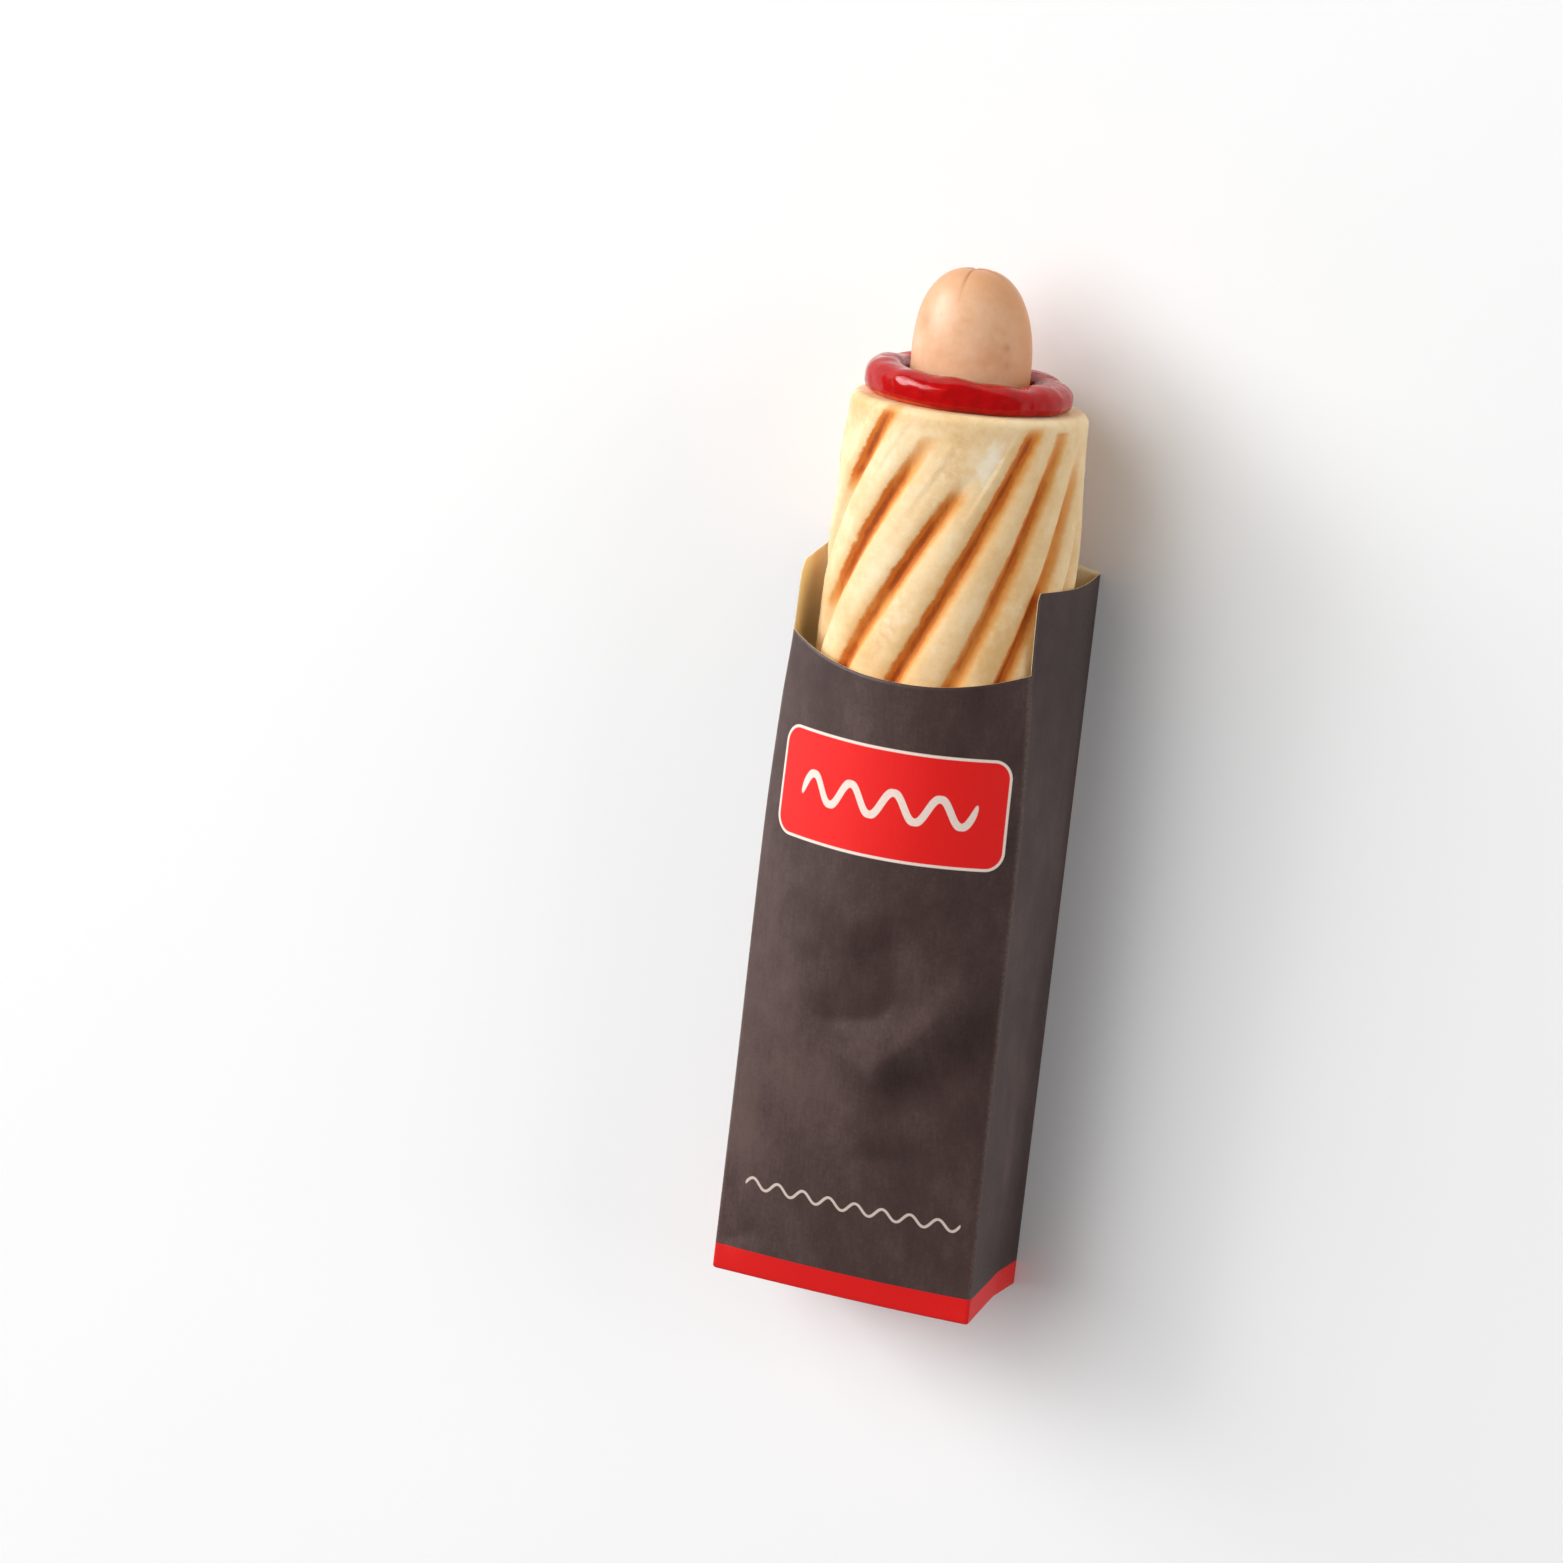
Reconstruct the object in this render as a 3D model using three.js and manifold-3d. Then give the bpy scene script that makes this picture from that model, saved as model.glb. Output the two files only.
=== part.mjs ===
// A French hot dog in its paper sleeve: a grilled bun with a sausage pushed into its bore, a ring of
// ketchup piped round the sausage, and a folded paper sleeve with a block bottom and a scooped front.
// It lies on the sleeve's back panel. X runs across the sleeve, Y along it towards the sausage's tip, and
// Z up from the back panel to the front. "Reach" is the distance along Y from the sleeve's closed end, and
// a section is the outline that a plane of one reach cuts. Millimetres throughout.

import * as THREE from 'three';
import { mergeVertices } from 'three/addons/utils/BufferGeometryUtils.js';
import Module from 'manifold-3d';

// ---------------------------------------------------------------------------------------------------------
// Driving dimensions
// ---------------------------------------------------------------------------------------------------------

const GAP = 0.3; // kept between touching pieces

// Paper sleeve
const PAPER = 0.45; // wall of the sleeve
const SIDE_REACH = 157; // top edge of the side panels
const BACK_ARCH = 3; // how far the back panel's top edge arches above the side panels
const SCOOP_RIGHT = 140; // where the front panel's scooped edge meets the right crease
const SCOOP_LEFT = 141.2; // and the left crease
const SCOOP_DEPTH = 4.5; // how far the scoop dips between them
const SCOOP_FULLNESS = 2.3; // above 2, its bottom is flatter than a parabola's
const LEFT_CORNER = 3; // rounding of the left panel's free corner
const LEFT_TOP_FALL = 1.8; // how far the left panel's top edge falls from back to front
const CROWN_LEAN = 0.12; // how much the front panel's crown leans to the right
const KINK_REACH = 45; // where the side gussets' kink dies out
const KINK_DEPTH = 1.1; // its depth at the closed end

const frontHalfWidth = smoothThrough([
  [0, 29], [42, 28.4], [98, 27.9], [126, 26.9], [141, 25.9], [160, 25.4],
]);
const creaseHeight = smoothThrough([[0, 33.6], [140, 39.3], [160, 40]]);
const crownHeight = smoothThrough([[0, 1], [40, 6.2], [75, 10.8], [110, 12.3], [140, 12.7]]);
const backRight = smoothThrough([[0, 29], [50, 28.4], [110, 27.7], [160, 27.1]]);
const backLeft = smoothThrough([[0, 29], [95, 28.4], [160, 31.2]]);
const rightBulge = smoothThrough([[0, 0], [40, 0.3], [100, 1.2], [137, 2.7], [157, 3]]);
const BULGE_LEAN = 1.3; // above 1, the right panel bulges most nearer to the front
const kinkHeight = smoothThrough([[0, 12], [45, 4], [80, 9]]);

// Dents in the front panel: centre, depth, half length, half width and the direction of the length
const DENTS = [
  { x: 13, reach: 56, depth: 1.3, length: 12, width: 5, turn: 40 },
  { x: 2, reach: 78, depth: 0.6, length: 11, width: 6, turn: 60 },
  { x: -12, reach: 31, depth: 0.5, length: 10, width: 5, turn: -20 },
];

// Bun
const BUN_START = 10;
const BUN_END = 191.8;
const BUN_BLUNT = 14; // length of the rounded lower end
const RIM_ROUND = 1.8; // rounding of the rim's outer edge
const RIM_TILT = 0.025; // how far the rim leans towards the front, for each millimetre of height
const RIM_TILT_START = 150; // where the bun starts to follow that lean

const bunHalfWidth = smoothThrough([
  [10, 14], [24, 18.6], [60, 22], [110, 24.5], [150, 25.6], [175, 25.1], [192, 24.5],
]);
const bunHalfHeight = smoothThrough([
  [10, 13], [24, 17.6], [60, 21.2], [110, 24], [137, 24.8], [192, 24.3],
]);
const bunCentreX = smoothThrough([[10, 0.3], [110, 1.8], [157, 2.2], [192, 1.9]]);
const bunLift = smoothThrough([[10, 4], [24, 0.2], [137, 0.2], [192, 1.4]]); // clear of the back panel
const bunCentreZ = (reach) => PAPER + GAP + bunLift(reach) + bunHalfHeight(reach);

// Grill grooves: the angle from the front towards +X, in degrees, at GROOVE_REACH, the turn in degrees for
// each millimetre of reach, and where the groove fades out below the rim
const GROOVE_REACH = 165;
const GROOVES = [
  { angle: -57, turn: 1.36, top: 191 },
  { angle: -28, turn: 1.3, top: 184 },
  { angle: 2, turn: 1.26, top: 178 },
  { angle: 26, turn: 1.02, top: 191 },
  { angle: 48, turn: 0.86, top: 189 },
  { angle: 70, turn: 0.82, top: 186 },
];
const GROOVES_BEHIND = 9; // evenly spread over the rest of the bun
const GROOVE_DEPTH = 0.95;
const GROOVE_FADE = 12; // length over which a groove deepens below its top
const GROOVE_PROFILE = [1, 0.5, 0, 0, 0, 0.5]; // depth across one groove's pitch, from its centre line

// Sausage
const SAUSAGE_RADIUS = 12.4;
const SAUSAGE_TIP = 218.8;
const SAUSAGE_LENGTH = 175;
const SAUSAGE_DOME = 14; // length of its rounded ends
const BLUNTNESS = 0.92; // below 1, the ends are blunter than an ellipse
const SAUSAGE_TIP_X = 0.75;
const SAUSAGE_LOW_X = 3;
const SAUSAGE_LOW_Z = 21.3; // height of its axis at the hidden end
const SAUSAGE_TIP_Z = 27; // and at the tip

// Ketchup
const KETCHUP_X = 1.25;
const KETCHUP_Z = 26.45;
const KETCHUP_RING = 17.15; // radius of the bead's centre line
const KETCHUP_HALF_WIDTH = 4.15;
const KETCHUP_TOP = 198.6;
const KETCHUP_TILT = 0.02; // how far the bead sinks towards the right, for each millimetre
const KETCHUP_WAVES = [
  { count: 5, size: 0.18, start: 1 },
  { count: 11, size: 0.11, start: 0 },
]; // unevenness of the piped bead: waves round the ring, their size and start in radians
// Below 1, the bead's section is fuller than an ellipse
const KETCHUP_SIDE_FULLNESS = 0.85;
const KETCHUP_FOOT_FULLNESS = 0.5;
const KETCHUP_TOP_FULLNESS = 0.9;

const WELD = 1e-4; // corners closer than this are one

// How finely each shape is divided
const FRONT_STEPS = 16;
const BACK_STEPS = 6;
const SIDE_STEPS_ABOVE_KINK = 6;
const SIDE_STEPS_BELOW_KINK = 2;
const ROWS_TO_SCOOP = 20;
const ROWS_ABOVE_SCOOP = 3;
const BUN_ROWS = 18;
const BLUNT_ROWS = [0.04, 0.2, 0.5]; // rows on the lower end, as shares of its length
const RIM_ROWS = [30, 60, 90]; // rows on the rim's rounding, in degrees
const SAUSAGE_SIDES = 28;
const DOME_STEPS = 7;
const KETCHUP_SIDES = 44;
const KETCHUP_SECTION = 12;

const MATERIALS = {
  sleeve: { color: 0x4a3d3b, roughness: 0.85, metalness: 0 },
  bun: { color: 0xe6c388, roughness: 0.8, metalness: 0 },
  sausage: { color: 0xe3b08a, roughness: 0.45, metalness: 0 },
  ketchup: { color: 0xa8081a, roughness: 0.2, metalness: 0 },
};

// ---------------------------------------------------------------------------------------------------------
// Helpers
// ---------------------------------------------------------------------------------------------------------

// A smooth curve through a few [place, value] stops, which never overshoots them.
function smoothThrough(stops) {
  const last = stops.length - 1;
  const rise = (k) => (stops[k + 1][1] - stops[k][1]) / (stops[k + 1][0] - stops[k][0]);
  const tangents = stops.map((_, k) => {
    if (k === 0) return rise(0);
    if (k === last) return rise(last - 1);
    const before = rise(k - 1);
    const after = rise(k);
    return before * after <= 0 ? 0 : (2 * before * after) / (before + after);
  });
  return (place) => {
    if (place <= stops[0][0]) return stops[0][1];
    if (place >= stops[last][0]) return stops[last][1];
    const k = stops.findIndex(([at]) => at > place) - 1;
    const span = stops[k + 1][0] - stops[k][0];
    const t = (place - stops[k][0]) / span;
    const ease = t * t * (3 - 2 * t);
    const leave = t * (1 - t) * (1 - t) * span * tangents[k];
    const arrive = t * t * (t - 1) * span * tangents[k + 1];
    return stops[k][1] + (stops[k + 1][1] - stops[k][1]) * ease + leave + arrive;
  };
}

const mix = THREE.MathUtils.lerp;
const clamp = THREE.MathUtils.clamp;
const smoothstep = THREE.MathUtils.smoothstep;
const steps = (count) => Array.from({ length: count }, (_, k) => k / count);

// Collects corners and faces of one closed mesh; corners that fall together are merged at the end.
class Skin {
  constructor() {
    this.positions = [];
  }

  triangle(a, b, c) {
    this.positions.push(...a.toArray(), ...b.toArray(), ...c.toArray());
  }

  quad(a, b, c, d) {
    this.triangle(a, b, c);
    this.triangle(a, c, d);
  }

  // Joins two closed rings of as many points.
  band(lower, upper) {
    lower.forEach((point, k) => {
      const next = (k + 1) % lower.length;
      this.quad(point, lower[next], upper[next], upper[k]);
    });
  }

  // Closes a ring with a fan to one point; flip turns the fan to face the other way.
  cap(ring, centre, flip) {
    ring.forEach((point, k) => {
      const next = ring[(k + 1) % ring.length];
      if (flip) this.triangle(next, point, centre);
      else this.triangle(point, next, centre);
    });
  }

  geometry() {
    const geometry = new THREE.BufferGeometry();
    geometry.setAttribute('position', new THREE.Float32BufferAttribute(this.positions, 3));
    return mergeVertices(geometry, WELD);
  }
}

// ---------------------------------------------------------------------------------------------------------
// Paper sleeve
// ---------------------------------------------------------------------------------------------------------

// Each column of the sleeve's wall is a place in its section: a panel, and how far along it the column lies.
// Seen from the closed end they go from the back's right corner to the left one, up the left panel, over the
// front and down the right panel.
function sleeveColumns() {
  const belowKink = steps(SIDE_STEPS_BELOW_KINK).map((t) => ({ kinks: t }));
  const aboveKink = steps(SIDE_STEPS_ABOVE_KINK).map((t) => ({ kinks: 1 + t }));
  const sideUp = [...belowKink, ...aboveKink];
  const sideDown = sideUp.map(({ kinks }, k) => (k === 0 ? { kinks: 2 } : sideUp[sideUp.length - k]));
  return [
    ...steps(BACK_STEPS).map((t) => ({ panel: 'back', along: 1 - 2 * t })),
    ...sideUp.map((place) => ({ panel: 'left', ...place })),
    ...steps(FRONT_STEPS).map((t) => ({ panel: 'front', along: 2 * t - 1 })),
    ...sideDown.map((place) => ({ panel: 'right', ...place })),
  ];
}

const COLUMNS = sleeveColumns();
const FIRST_FRONT = COLUMNS.findIndex(({ panel }) => panel === 'front');
const FIRST_RIGHT = COLUMNS.findIndex(({ panel }) => panel === 'right');

function dentAt(x, reach) {
  return DENTS.reduce((sum, dent) => {
    const turn = THREE.MathUtils.degToRad(dent.turn);
    const along = (x - dent.x) * Math.cos(turn) + (reach - dent.reach) * Math.sin(turn);
    const across = (reach - dent.reach) * Math.cos(turn) - (x - dent.x) * Math.sin(turn);
    return sum + dent.depth * Math.exp(-((along / dent.length) ** 2) - (across / dent.width) ** 2);
  }, 0);
}

// The point of the sleeve's outer face at one column and reach, as [x, z].
function sleevePoint({ panel, along, kinks }, reach) {
  const crease = creaseHeight(reach);
  const half = frontHalfWidth(reach);
  if (panel === 'back') return [along > 0 ? along * backRight(reach) : along * backLeft(reach), 0];
  if (panel === 'front') {
    const x = along * half;
    const arch = crownHeight(reach) * (1 - along ** 2) * (1 + CROWN_LEAN * along);
    return [x, crease + arch - dentAt(x, reach)];
  }
  const kinkShare = kinkHeight(reach) / crease;
  const share = kinks <= 1 ? kinks * kinkShare : mix(kinkShare, 1, kinks - 1);
  const tuck = KINK_DEPTH * Math.max(0, 1 - reach / KINK_REACH) * (kinks <= 1 ? kinks : 2 - kinks);
  const isRight = panel === 'right';
  const bulge = isRight ? rightBulge(reach) * Math.sin(Math.PI * share ** BULGE_LEAN) : 0;
  const x = mix(isRight ? backRight(reach) : backLeft(reach), half, share) + bulge - tuck;
  return [isRight ? x : -x, share * crease];
}

// The same point moved inwards by the paper's thickness, square to both neighbouring faces.
function sleeveInnerPoint(column, reach) {
  const count = COLUMNS.length;
  const [before, here, after] = [column - 1, column, column + 1].map(
    (k) => new THREE.Vector2(...sleevePoint(COLUMNS[(k + count) % count], reach)),
  );
  const inward = (from, to) => {
    const edge = to.clone().sub(from).normalize();
    return new THREE.Vector2(edge.y, -edge.x);
  };
  const first = inward(before, here);
  const second = inward(here, after);
  const mitre = first.add(second);
  mitre.multiplyScalar((2 * PAPER) / mitre.lengthSq());
  const moved = here.add(mitre);
  return [moved.x, moved.y];
}

// How far one column reaches: the scoop's edge on the front panel, the top edge on the others.
function scoopReach(column) {
  const { panel, along } = COLUMNS[column];
  if (panel === 'left') return SCOOP_LEFT;
  if (panel === 'right') return SCOOP_RIGHT;
  if (panel === 'back') return mix(SCOOP_LEFT, SCOOP_RIGHT, (along + 1) / 2);
  const dip = SCOOP_DEPTH * (1 - Math.abs(along) ** SCOOP_FULLNESS);
  return mix(SCOOP_LEFT, SCOOP_RIGHT, (along + 1) / 2) - dip;
}

function topReach(column) {
  const { panel, along } = COLUMNS[column];
  if (panel === 'back') return SIDE_REACH + BACK_ARCH * (1 - along ** 2);
  if (panel === 'right') return SIDE_REACH;
  const [, height] = sleevePoint(COLUMNS[column], SIDE_REACH);
  const crease = creaseHeight(SIDE_REACH);
  const fromFront = clamp((crease - height) / LEFT_CORNER, 0, 1);
  const corner = LEFT_CORNER * (1 - Math.sqrt(1 - (1 - fromFront) ** 2));
  return SIDE_REACH - (LEFT_TOP_FALL * height) / crease - corner;
}

function sleeveGeometry() {
  const skin = new Skin();
  const count = COLUMNS.length;
  const rows = ROWS_TO_SCOOP + ROWS_ABOVE_SCOOP;
  const isCorner = (column) => column === FIRST_FRONT || column === FIRST_RIGHT;
  const reachAt = (row, column) => {
    if (row <= ROWS_TO_SCOOP) return (scoopReach(column) * row) / ROWS_TO_SCOOP;
    return mix(scoopReach(column), topReach(column), (row - ROWS_TO_SCOOP) / ROWS_ABOVE_SCOOP);
  };
  const isFront = (column) => column >= FIRST_FRONT && column < FIRST_RIGHT;
  const outer = [];
  const inner = [];
  for (let row = 0; row <= rows; row += 1) {
    outer.push([]);
    inner.push([]);
    for (let column = 0; column < count; column += 1) {
      const above = row > ROWS_TO_SCOOP;
      if (above && isFront(column) && !isCorner(column)) continue;
      const reach = reachAt(row, column);
      const [x, z] = sleevePoint(COLUMNS[column], reach);
      outer[row][column] = new THREE.Vector3(x, reach, z);
      const innerReach = Math.max(reach, PAPER);
      const [innerX, innerZ] = sleeveInnerPoint(column, innerReach);
      inner[row][column] = new THREE.Vector3(innerX, innerReach, innerZ);
    }
  }
  const present = (row, column) => row >= 0 && row < rows && (row < ROWS_TO_SCOOP || !isFront(column));
  const wall = (row, column, nextRow, nextColumn) => {
    skin.quad(
      outer[nextRow][nextColumn],
      outer[row][column],
      inner[row][column],
      inner[nextRow][nextColumn],
    );
  };
  for (let row = 0; row < rows; row += 1) {
    for (let column = 0; column < count; column += 1) {
      if (!present(row, column)) continue;
      const next = (column + 1) % count;
      const up = row + 1;
      skin.quad(outer[row][column], outer[row][next], outer[up][next], outer[up][column]);
      skin.quad(inner[row][column], inner[up][column], inner[up][next], inner[row][next]);
      if (!present(up, column)) wall(up, next, up, column);
      if (!present(row, next)) wall(row, next, up, next);
      if (!present(row, (column + count - 1) % count)) wall(up, column, row, column);
    }
  }
  const middle = creaseHeight(0) / 2;
  skin.cap(outer[0], new THREE.Vector3(0, 0, middle), true);
  skin.cap(inner[0], new THREE.Vector3(0, PAPER, middle), false);
  return skin.geometry();
}

// ---------------------------------------------------------------------------------------------------------
// Bun, sausage and ketchup
// ---------------------------------------------------------------------------------------------------------

// The seen grooves in their own places, then the rest, spread evenly round the back in angle and in turn.
function allGrooves() {
  const first = GROOVES[0];
  const last = GROOVES[GROOVES.length - 1];
  const behind = Array.from({ length: GROOVES_BEHIND }, (_, k) => {
    const share = (k + 1) / (GROOVES_BEHIND + 1);
    return {
      angle: mix(last.angle, first.angle + 360, share),
      turn: mix(last.turn, first.turn, share),
      top: mix(last.top, first.top, share),
    };
  });
  return [...GROOVES, ...behind];
}

const ALL_GROOVES = allGrooves();

// The lean of the bun's end: how far a point of one reach and height moves along Y.
function rimLean(reach, z) {
  const share = smoothstep(reach, RIM_TILT_START, BUN_END);
  return -RIM_TILT * share * (z - bunCentreZ(BUN_END));
}

// One ring of the bun's crust, with columns that follow the grooves; inset shrinks the ring for the rim.
function bunRing(reach, inset) {
  const start = clamp((reach - BUN_START) / BUN_BLUNT, 0, 1);
  const blunt = Math.sqrt(1 - (1 - start) ** 2);
  return ALL_GROOVES.flatMap((groove, k) => {
    const isLast = k === ALL_GROOVES.length - 1;
    const next = isLast ? ALL_GROOVES[0] : ALL_GROOVES[k + 1];
    const from = groove.angle + groove.turn * (reach - GROOVE_REACH);
    const to = next.angle + (isLast ? 360 : 0) + next.turn * (reach - GROOVE_REACH);
    return GROOVE_PROFILE.map((share, column) => {
      const along = column / GROOVE_PROFILE.length;
      const angle = THREE.MathUtils.degToRad(mix(from, to, along));
      const top = along < 0.5 ? groove.top : next.top;
      const fade = clamp((top - reach) / GROOVE_FADE, 0, 1) * blunt;
      const depth = GROOVE_DEPTH * share * fade;
      const width = bunHalfWidth(reach) * blunt - depth - inset;
      const height = bunHalfHeight(reach) * blunt - depth - inset;
      const x = bunCentreX(reach) + width * Math.sin(angle);
      const z = bunCentreZ(reach) + height * Math.cos(angle);
      return new THREE.Vector3(x, reach + rimLean(reach, z), z);
    });
  });
}

function bunSolidGeometry() {
  const skin = new Skin();
  const rings = BLUNT_ROWS.map((share) => bunRing(BUN_START + BUN_BLUNT * share, 0));
  const straightStart = BUN_START + BUN_BLUNT;
  const straightEnd = BUN_END - RIM_ROUND;
  for (let row = 0; row <= BUN_ROWS; row += 1) {
    rings.push(bunRing(mix(straightStart, straightEnd, row / BUN_ROWS), 0));
  }
  RIM_ROWS.forEach((degrees) => {
    const turn = THREE.MathUtils.degToRad(degrees);
    const reach = straightEnd + RIM_ROUND * Math.sin(turn);
    rings.push(bunRing(reach, RIM_ROUND * (1 - Math.cos(turn))));
  });
  rings.slice(1).forEach((ring, k) => skin.band(rings[k], ring));
  const tip = new THREE.Vector3(bunCentreX(BUN_START), BUN_START, bunCentreZ(BUN_START));
  skin.cap(rings[0], tip, true);
  const rim = new THREE.Vector3(bunCentreX(BUN_END), BUN_END, bunCentreZ(BUN_END));
  skin.cap(rings[rings.length - 1], rim, false);
  return skin.geometry();
}

// A sausage along +Y from its hidden end, made thicker all round by grow.
function sausageGeometry(grow) {
  const radius = SAUSAGE_RADIUS + grow;
  const dome = SAUSAGE_DOME + grow;
  const lowEnd = [];
  const tip = [];
  for (let k = 0; k <= DOME_STEPS; k += 1) {
    const turn = (Math.PI / 2) * (k / DOME_STEPS);
    const out = radius * Math.sin(turn) ** BLUNTNESS;
    const past = dome * Math.cos(turn);
    lowEnd.push(new THREE.Vector2(out, SAUSAGE_DOME - past));
    tip.unshift(new THREE.Vector2(out, SAUSAGE_LENGTH - SAUSAGE_DOME + past));
  }
  return new THREE.LatheGeometry([...lowEnd, ...tip], SAUSAGE_SIDES);
}

function placeSausage(object) {
  const sideways = SAUSAGE_TIP_X - SAUSAGE_LOW_X;
  const climb = SAUSAGE_TIP_Z - SAUSAGE_LOW_Z;
  const run = Math.sqrt(SAUSAGE_LENGTH ** 2 - sideways ** 2 - climb ** 2);
  const axis = new THREE.Vector3(sideways, run, climb).normalize();
  object.quaternion.setFromUnitVectors(new THREE.Vector3(0, 1, 0), axis);
  object.position.set(SAUSAGE_LOW_X, SAUSAGE_TIP - run, SAUSAGE_LOW_Z);
  object.updateMatrix();
}

function ketchupGeometry() {
  const skin = new Skin();
  const foot = BUN_END + GAP;
  const halfHeight = (KETCHUP_TOP - foot) / 2;
  const rings = steps(KETCHUP_SIDES).map((share) => {
    const around = share * Math.PI * 2;
    const wave = KETCHUP_WAVES.reduce((sum, { count, size, start }) => {
      return sum + size * Math.sin(around * count + start);
    }, 0);
    return steps(KETCHUP_SECTION).map((part) => {
      const turn = part * Math.PI * 2;
      const out = Math.cos(turn);
      const width = out > 0 ? KETCHUP_HALF_WIDTH + wave : KETCHUP_HALF_WIDTH;
      const radius = KETCHUP_RING + width * Math.sign(out) * Math.abs(out) ** KETCHUP_SIDE_FULLNESS;
      const rise = Math.sin(turn);
      const fullness = rise < 0 ? KETCHUP_FOOT_FULLNESS : KETCHUP_TOP_FULLNESS;
      const x = KETCHUP_X + radius * Math.sin(around);
      const z = KETCHUP_Z + radius * Math.cos(around);
      const level = halfHeight * (1 + Math.sign(rise) * Math.abs(rise) ** fullness);
      const lift = (wave * Math.max(rise, 0) - KETCHUP_TILT * x) * (level / halfHeight / 2);
      return new THREE.Vector3(x, foot + level + lift + rimLean(BUN_END, z), z);
    });
  });
  rings.forEach((ring, k) => skin.band(rings[(k + 1) % rings.length], ring));
  return skin.geometry();
}

// ---------------------------------------------------------------------------------------------------------
// Cutting
// ---------------------------------------------------------------------------------------------------------

const wasm = await Module();
wasm.setup();

function toManifold(geometry) {
  const bare = geometry.clone();
  bare.deleteAttribute('normal');
  bare.deleteAttribute('uv');
  const merged = mergeVertices(bare, WELD);
  return new wasm.Manifold(
    new wasm.Mesh({
      numProp: 3,
      vertProperties: new Float32Array(merged.attributes.position.array),
      triVerts: new Uint32Array(merged.index.array),
    }),
  );
}

function cut(geometry, tool) {
  const mesh = toManifold(geometry).subtract(toManifold(tool)).getMesh();
  const result = new THREE.BufferGeometry();
  result.setAttribute('position', new THREE.BufferAttribute(mesh.vertProperties, 3));
  result.setIndex(new THREE.BufferAttribute(mesh.triVerts, 1));
  return result;
}

// The bun with a blind bore that follows the sausage.
function bunGeometry() {
  const bore = new THREE.Object3D();
  placeSausage(bore);
  return cut(bunSolidGeometry(), sausageGeometry(GAP).applyMatrix4(bore.matrix));
}

// ---------------------------------------------------------------------------------------------------------
// Assembly
// ---------------------------------------------------------------------------------------------------------

const hotDog = new THREE.Group();

function addPiece(name, geometry) {
  geometry.computeVertexNormals();
  const piece = new THREE.Mesh(geometry, new THREE.MeshStandardMaterial(MATERIALS[name]));
  piece.name = name;
  hotDog.add(piece);
  return piece;
}

addPiece('sleeve', sleeveGeometry());
addPiece('bun', bunGeometry());
placeSausage(addPiece('sausage', sausageGeometry(0)));
addPiece('ketchup', ketchupGeometry());

// The origin is the middle of the whole footprint, at the height of the back panel.
const box = new THREE.Box3().setFromObject(hotDog, true);
hotDog.position.set(-(box.min.x + box.max.x) / 2, -(box.min.y + box.max.y) / 2, 0);

export default hotDog;
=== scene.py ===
"""Looks of a French hot dog in its paper sleeve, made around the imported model.

Lengths are millimetres in the sleeve's own axes: X across the sleeve, "reach" along it from its closed end
to the sausage's tip, and Z up from its back panel. Angles round the food are degrees from the front towards
+X. A piece becomes metres in the model's frame when its mesh is made.
"""

import math
from collections import namedtuple

import bpy
import numpy as np
from mathutils import Matrix, Vector, noise

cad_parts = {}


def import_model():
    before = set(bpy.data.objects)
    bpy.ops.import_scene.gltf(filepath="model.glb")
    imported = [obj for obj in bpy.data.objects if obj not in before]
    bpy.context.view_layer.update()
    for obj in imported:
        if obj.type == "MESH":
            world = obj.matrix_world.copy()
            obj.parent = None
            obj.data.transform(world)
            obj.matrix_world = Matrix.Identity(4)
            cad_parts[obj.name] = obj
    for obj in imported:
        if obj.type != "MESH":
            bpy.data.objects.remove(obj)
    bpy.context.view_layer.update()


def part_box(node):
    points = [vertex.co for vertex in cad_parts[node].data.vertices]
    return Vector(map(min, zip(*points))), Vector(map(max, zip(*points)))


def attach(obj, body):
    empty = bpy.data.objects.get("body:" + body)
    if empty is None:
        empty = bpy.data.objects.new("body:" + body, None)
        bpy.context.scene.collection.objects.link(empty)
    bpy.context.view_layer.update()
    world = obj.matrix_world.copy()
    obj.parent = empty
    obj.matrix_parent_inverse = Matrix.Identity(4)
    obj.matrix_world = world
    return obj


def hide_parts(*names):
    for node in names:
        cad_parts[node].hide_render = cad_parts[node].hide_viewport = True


MM = 0.001


def smooth_through(*stops):
    """A smooth curve through (place, value) stops that never overshoots them, for arrays of places."""
    places, values = np.array(stops, float).T
    spans = np.diff(places)
    rises = np.diff(values) / spans
    before, after = rises[:-1], rises[1:]
    same_way = before * after > 0
    between = 2 * before * after / np.where(same_way, before + after, 1)
    tangents = np.concatenate([rises[:1], np.where(same_way, between, 0), rises[-1:]])

    def curve(place):
        place = np.clip(place, places[0], places[-1])
        k = np.clip(np.searchsorted(places, place, side="right") - 1, 0, len(spans) - 1)
        t = (place - places[k]) / spans[k]
        ease = t * t * (3 - 2 * t)
        leave = t * (1 - t) ** 2 * spans[k] * tangents[k]
        arrive = t * t * (t - 1) * spans[k] * tangents[k + 1]
        return values[k] + (values[k + 1] - values[k]) * ease + leave + arrive

    return curve


# A soft patch: its middle, strength, half length and half width, and the degrees from X that it is turned
Patch = namedtuple("Patch", "x reach strength length width turn")

# ---- Dimensions of the paper sleeve's outer face ----

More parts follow.
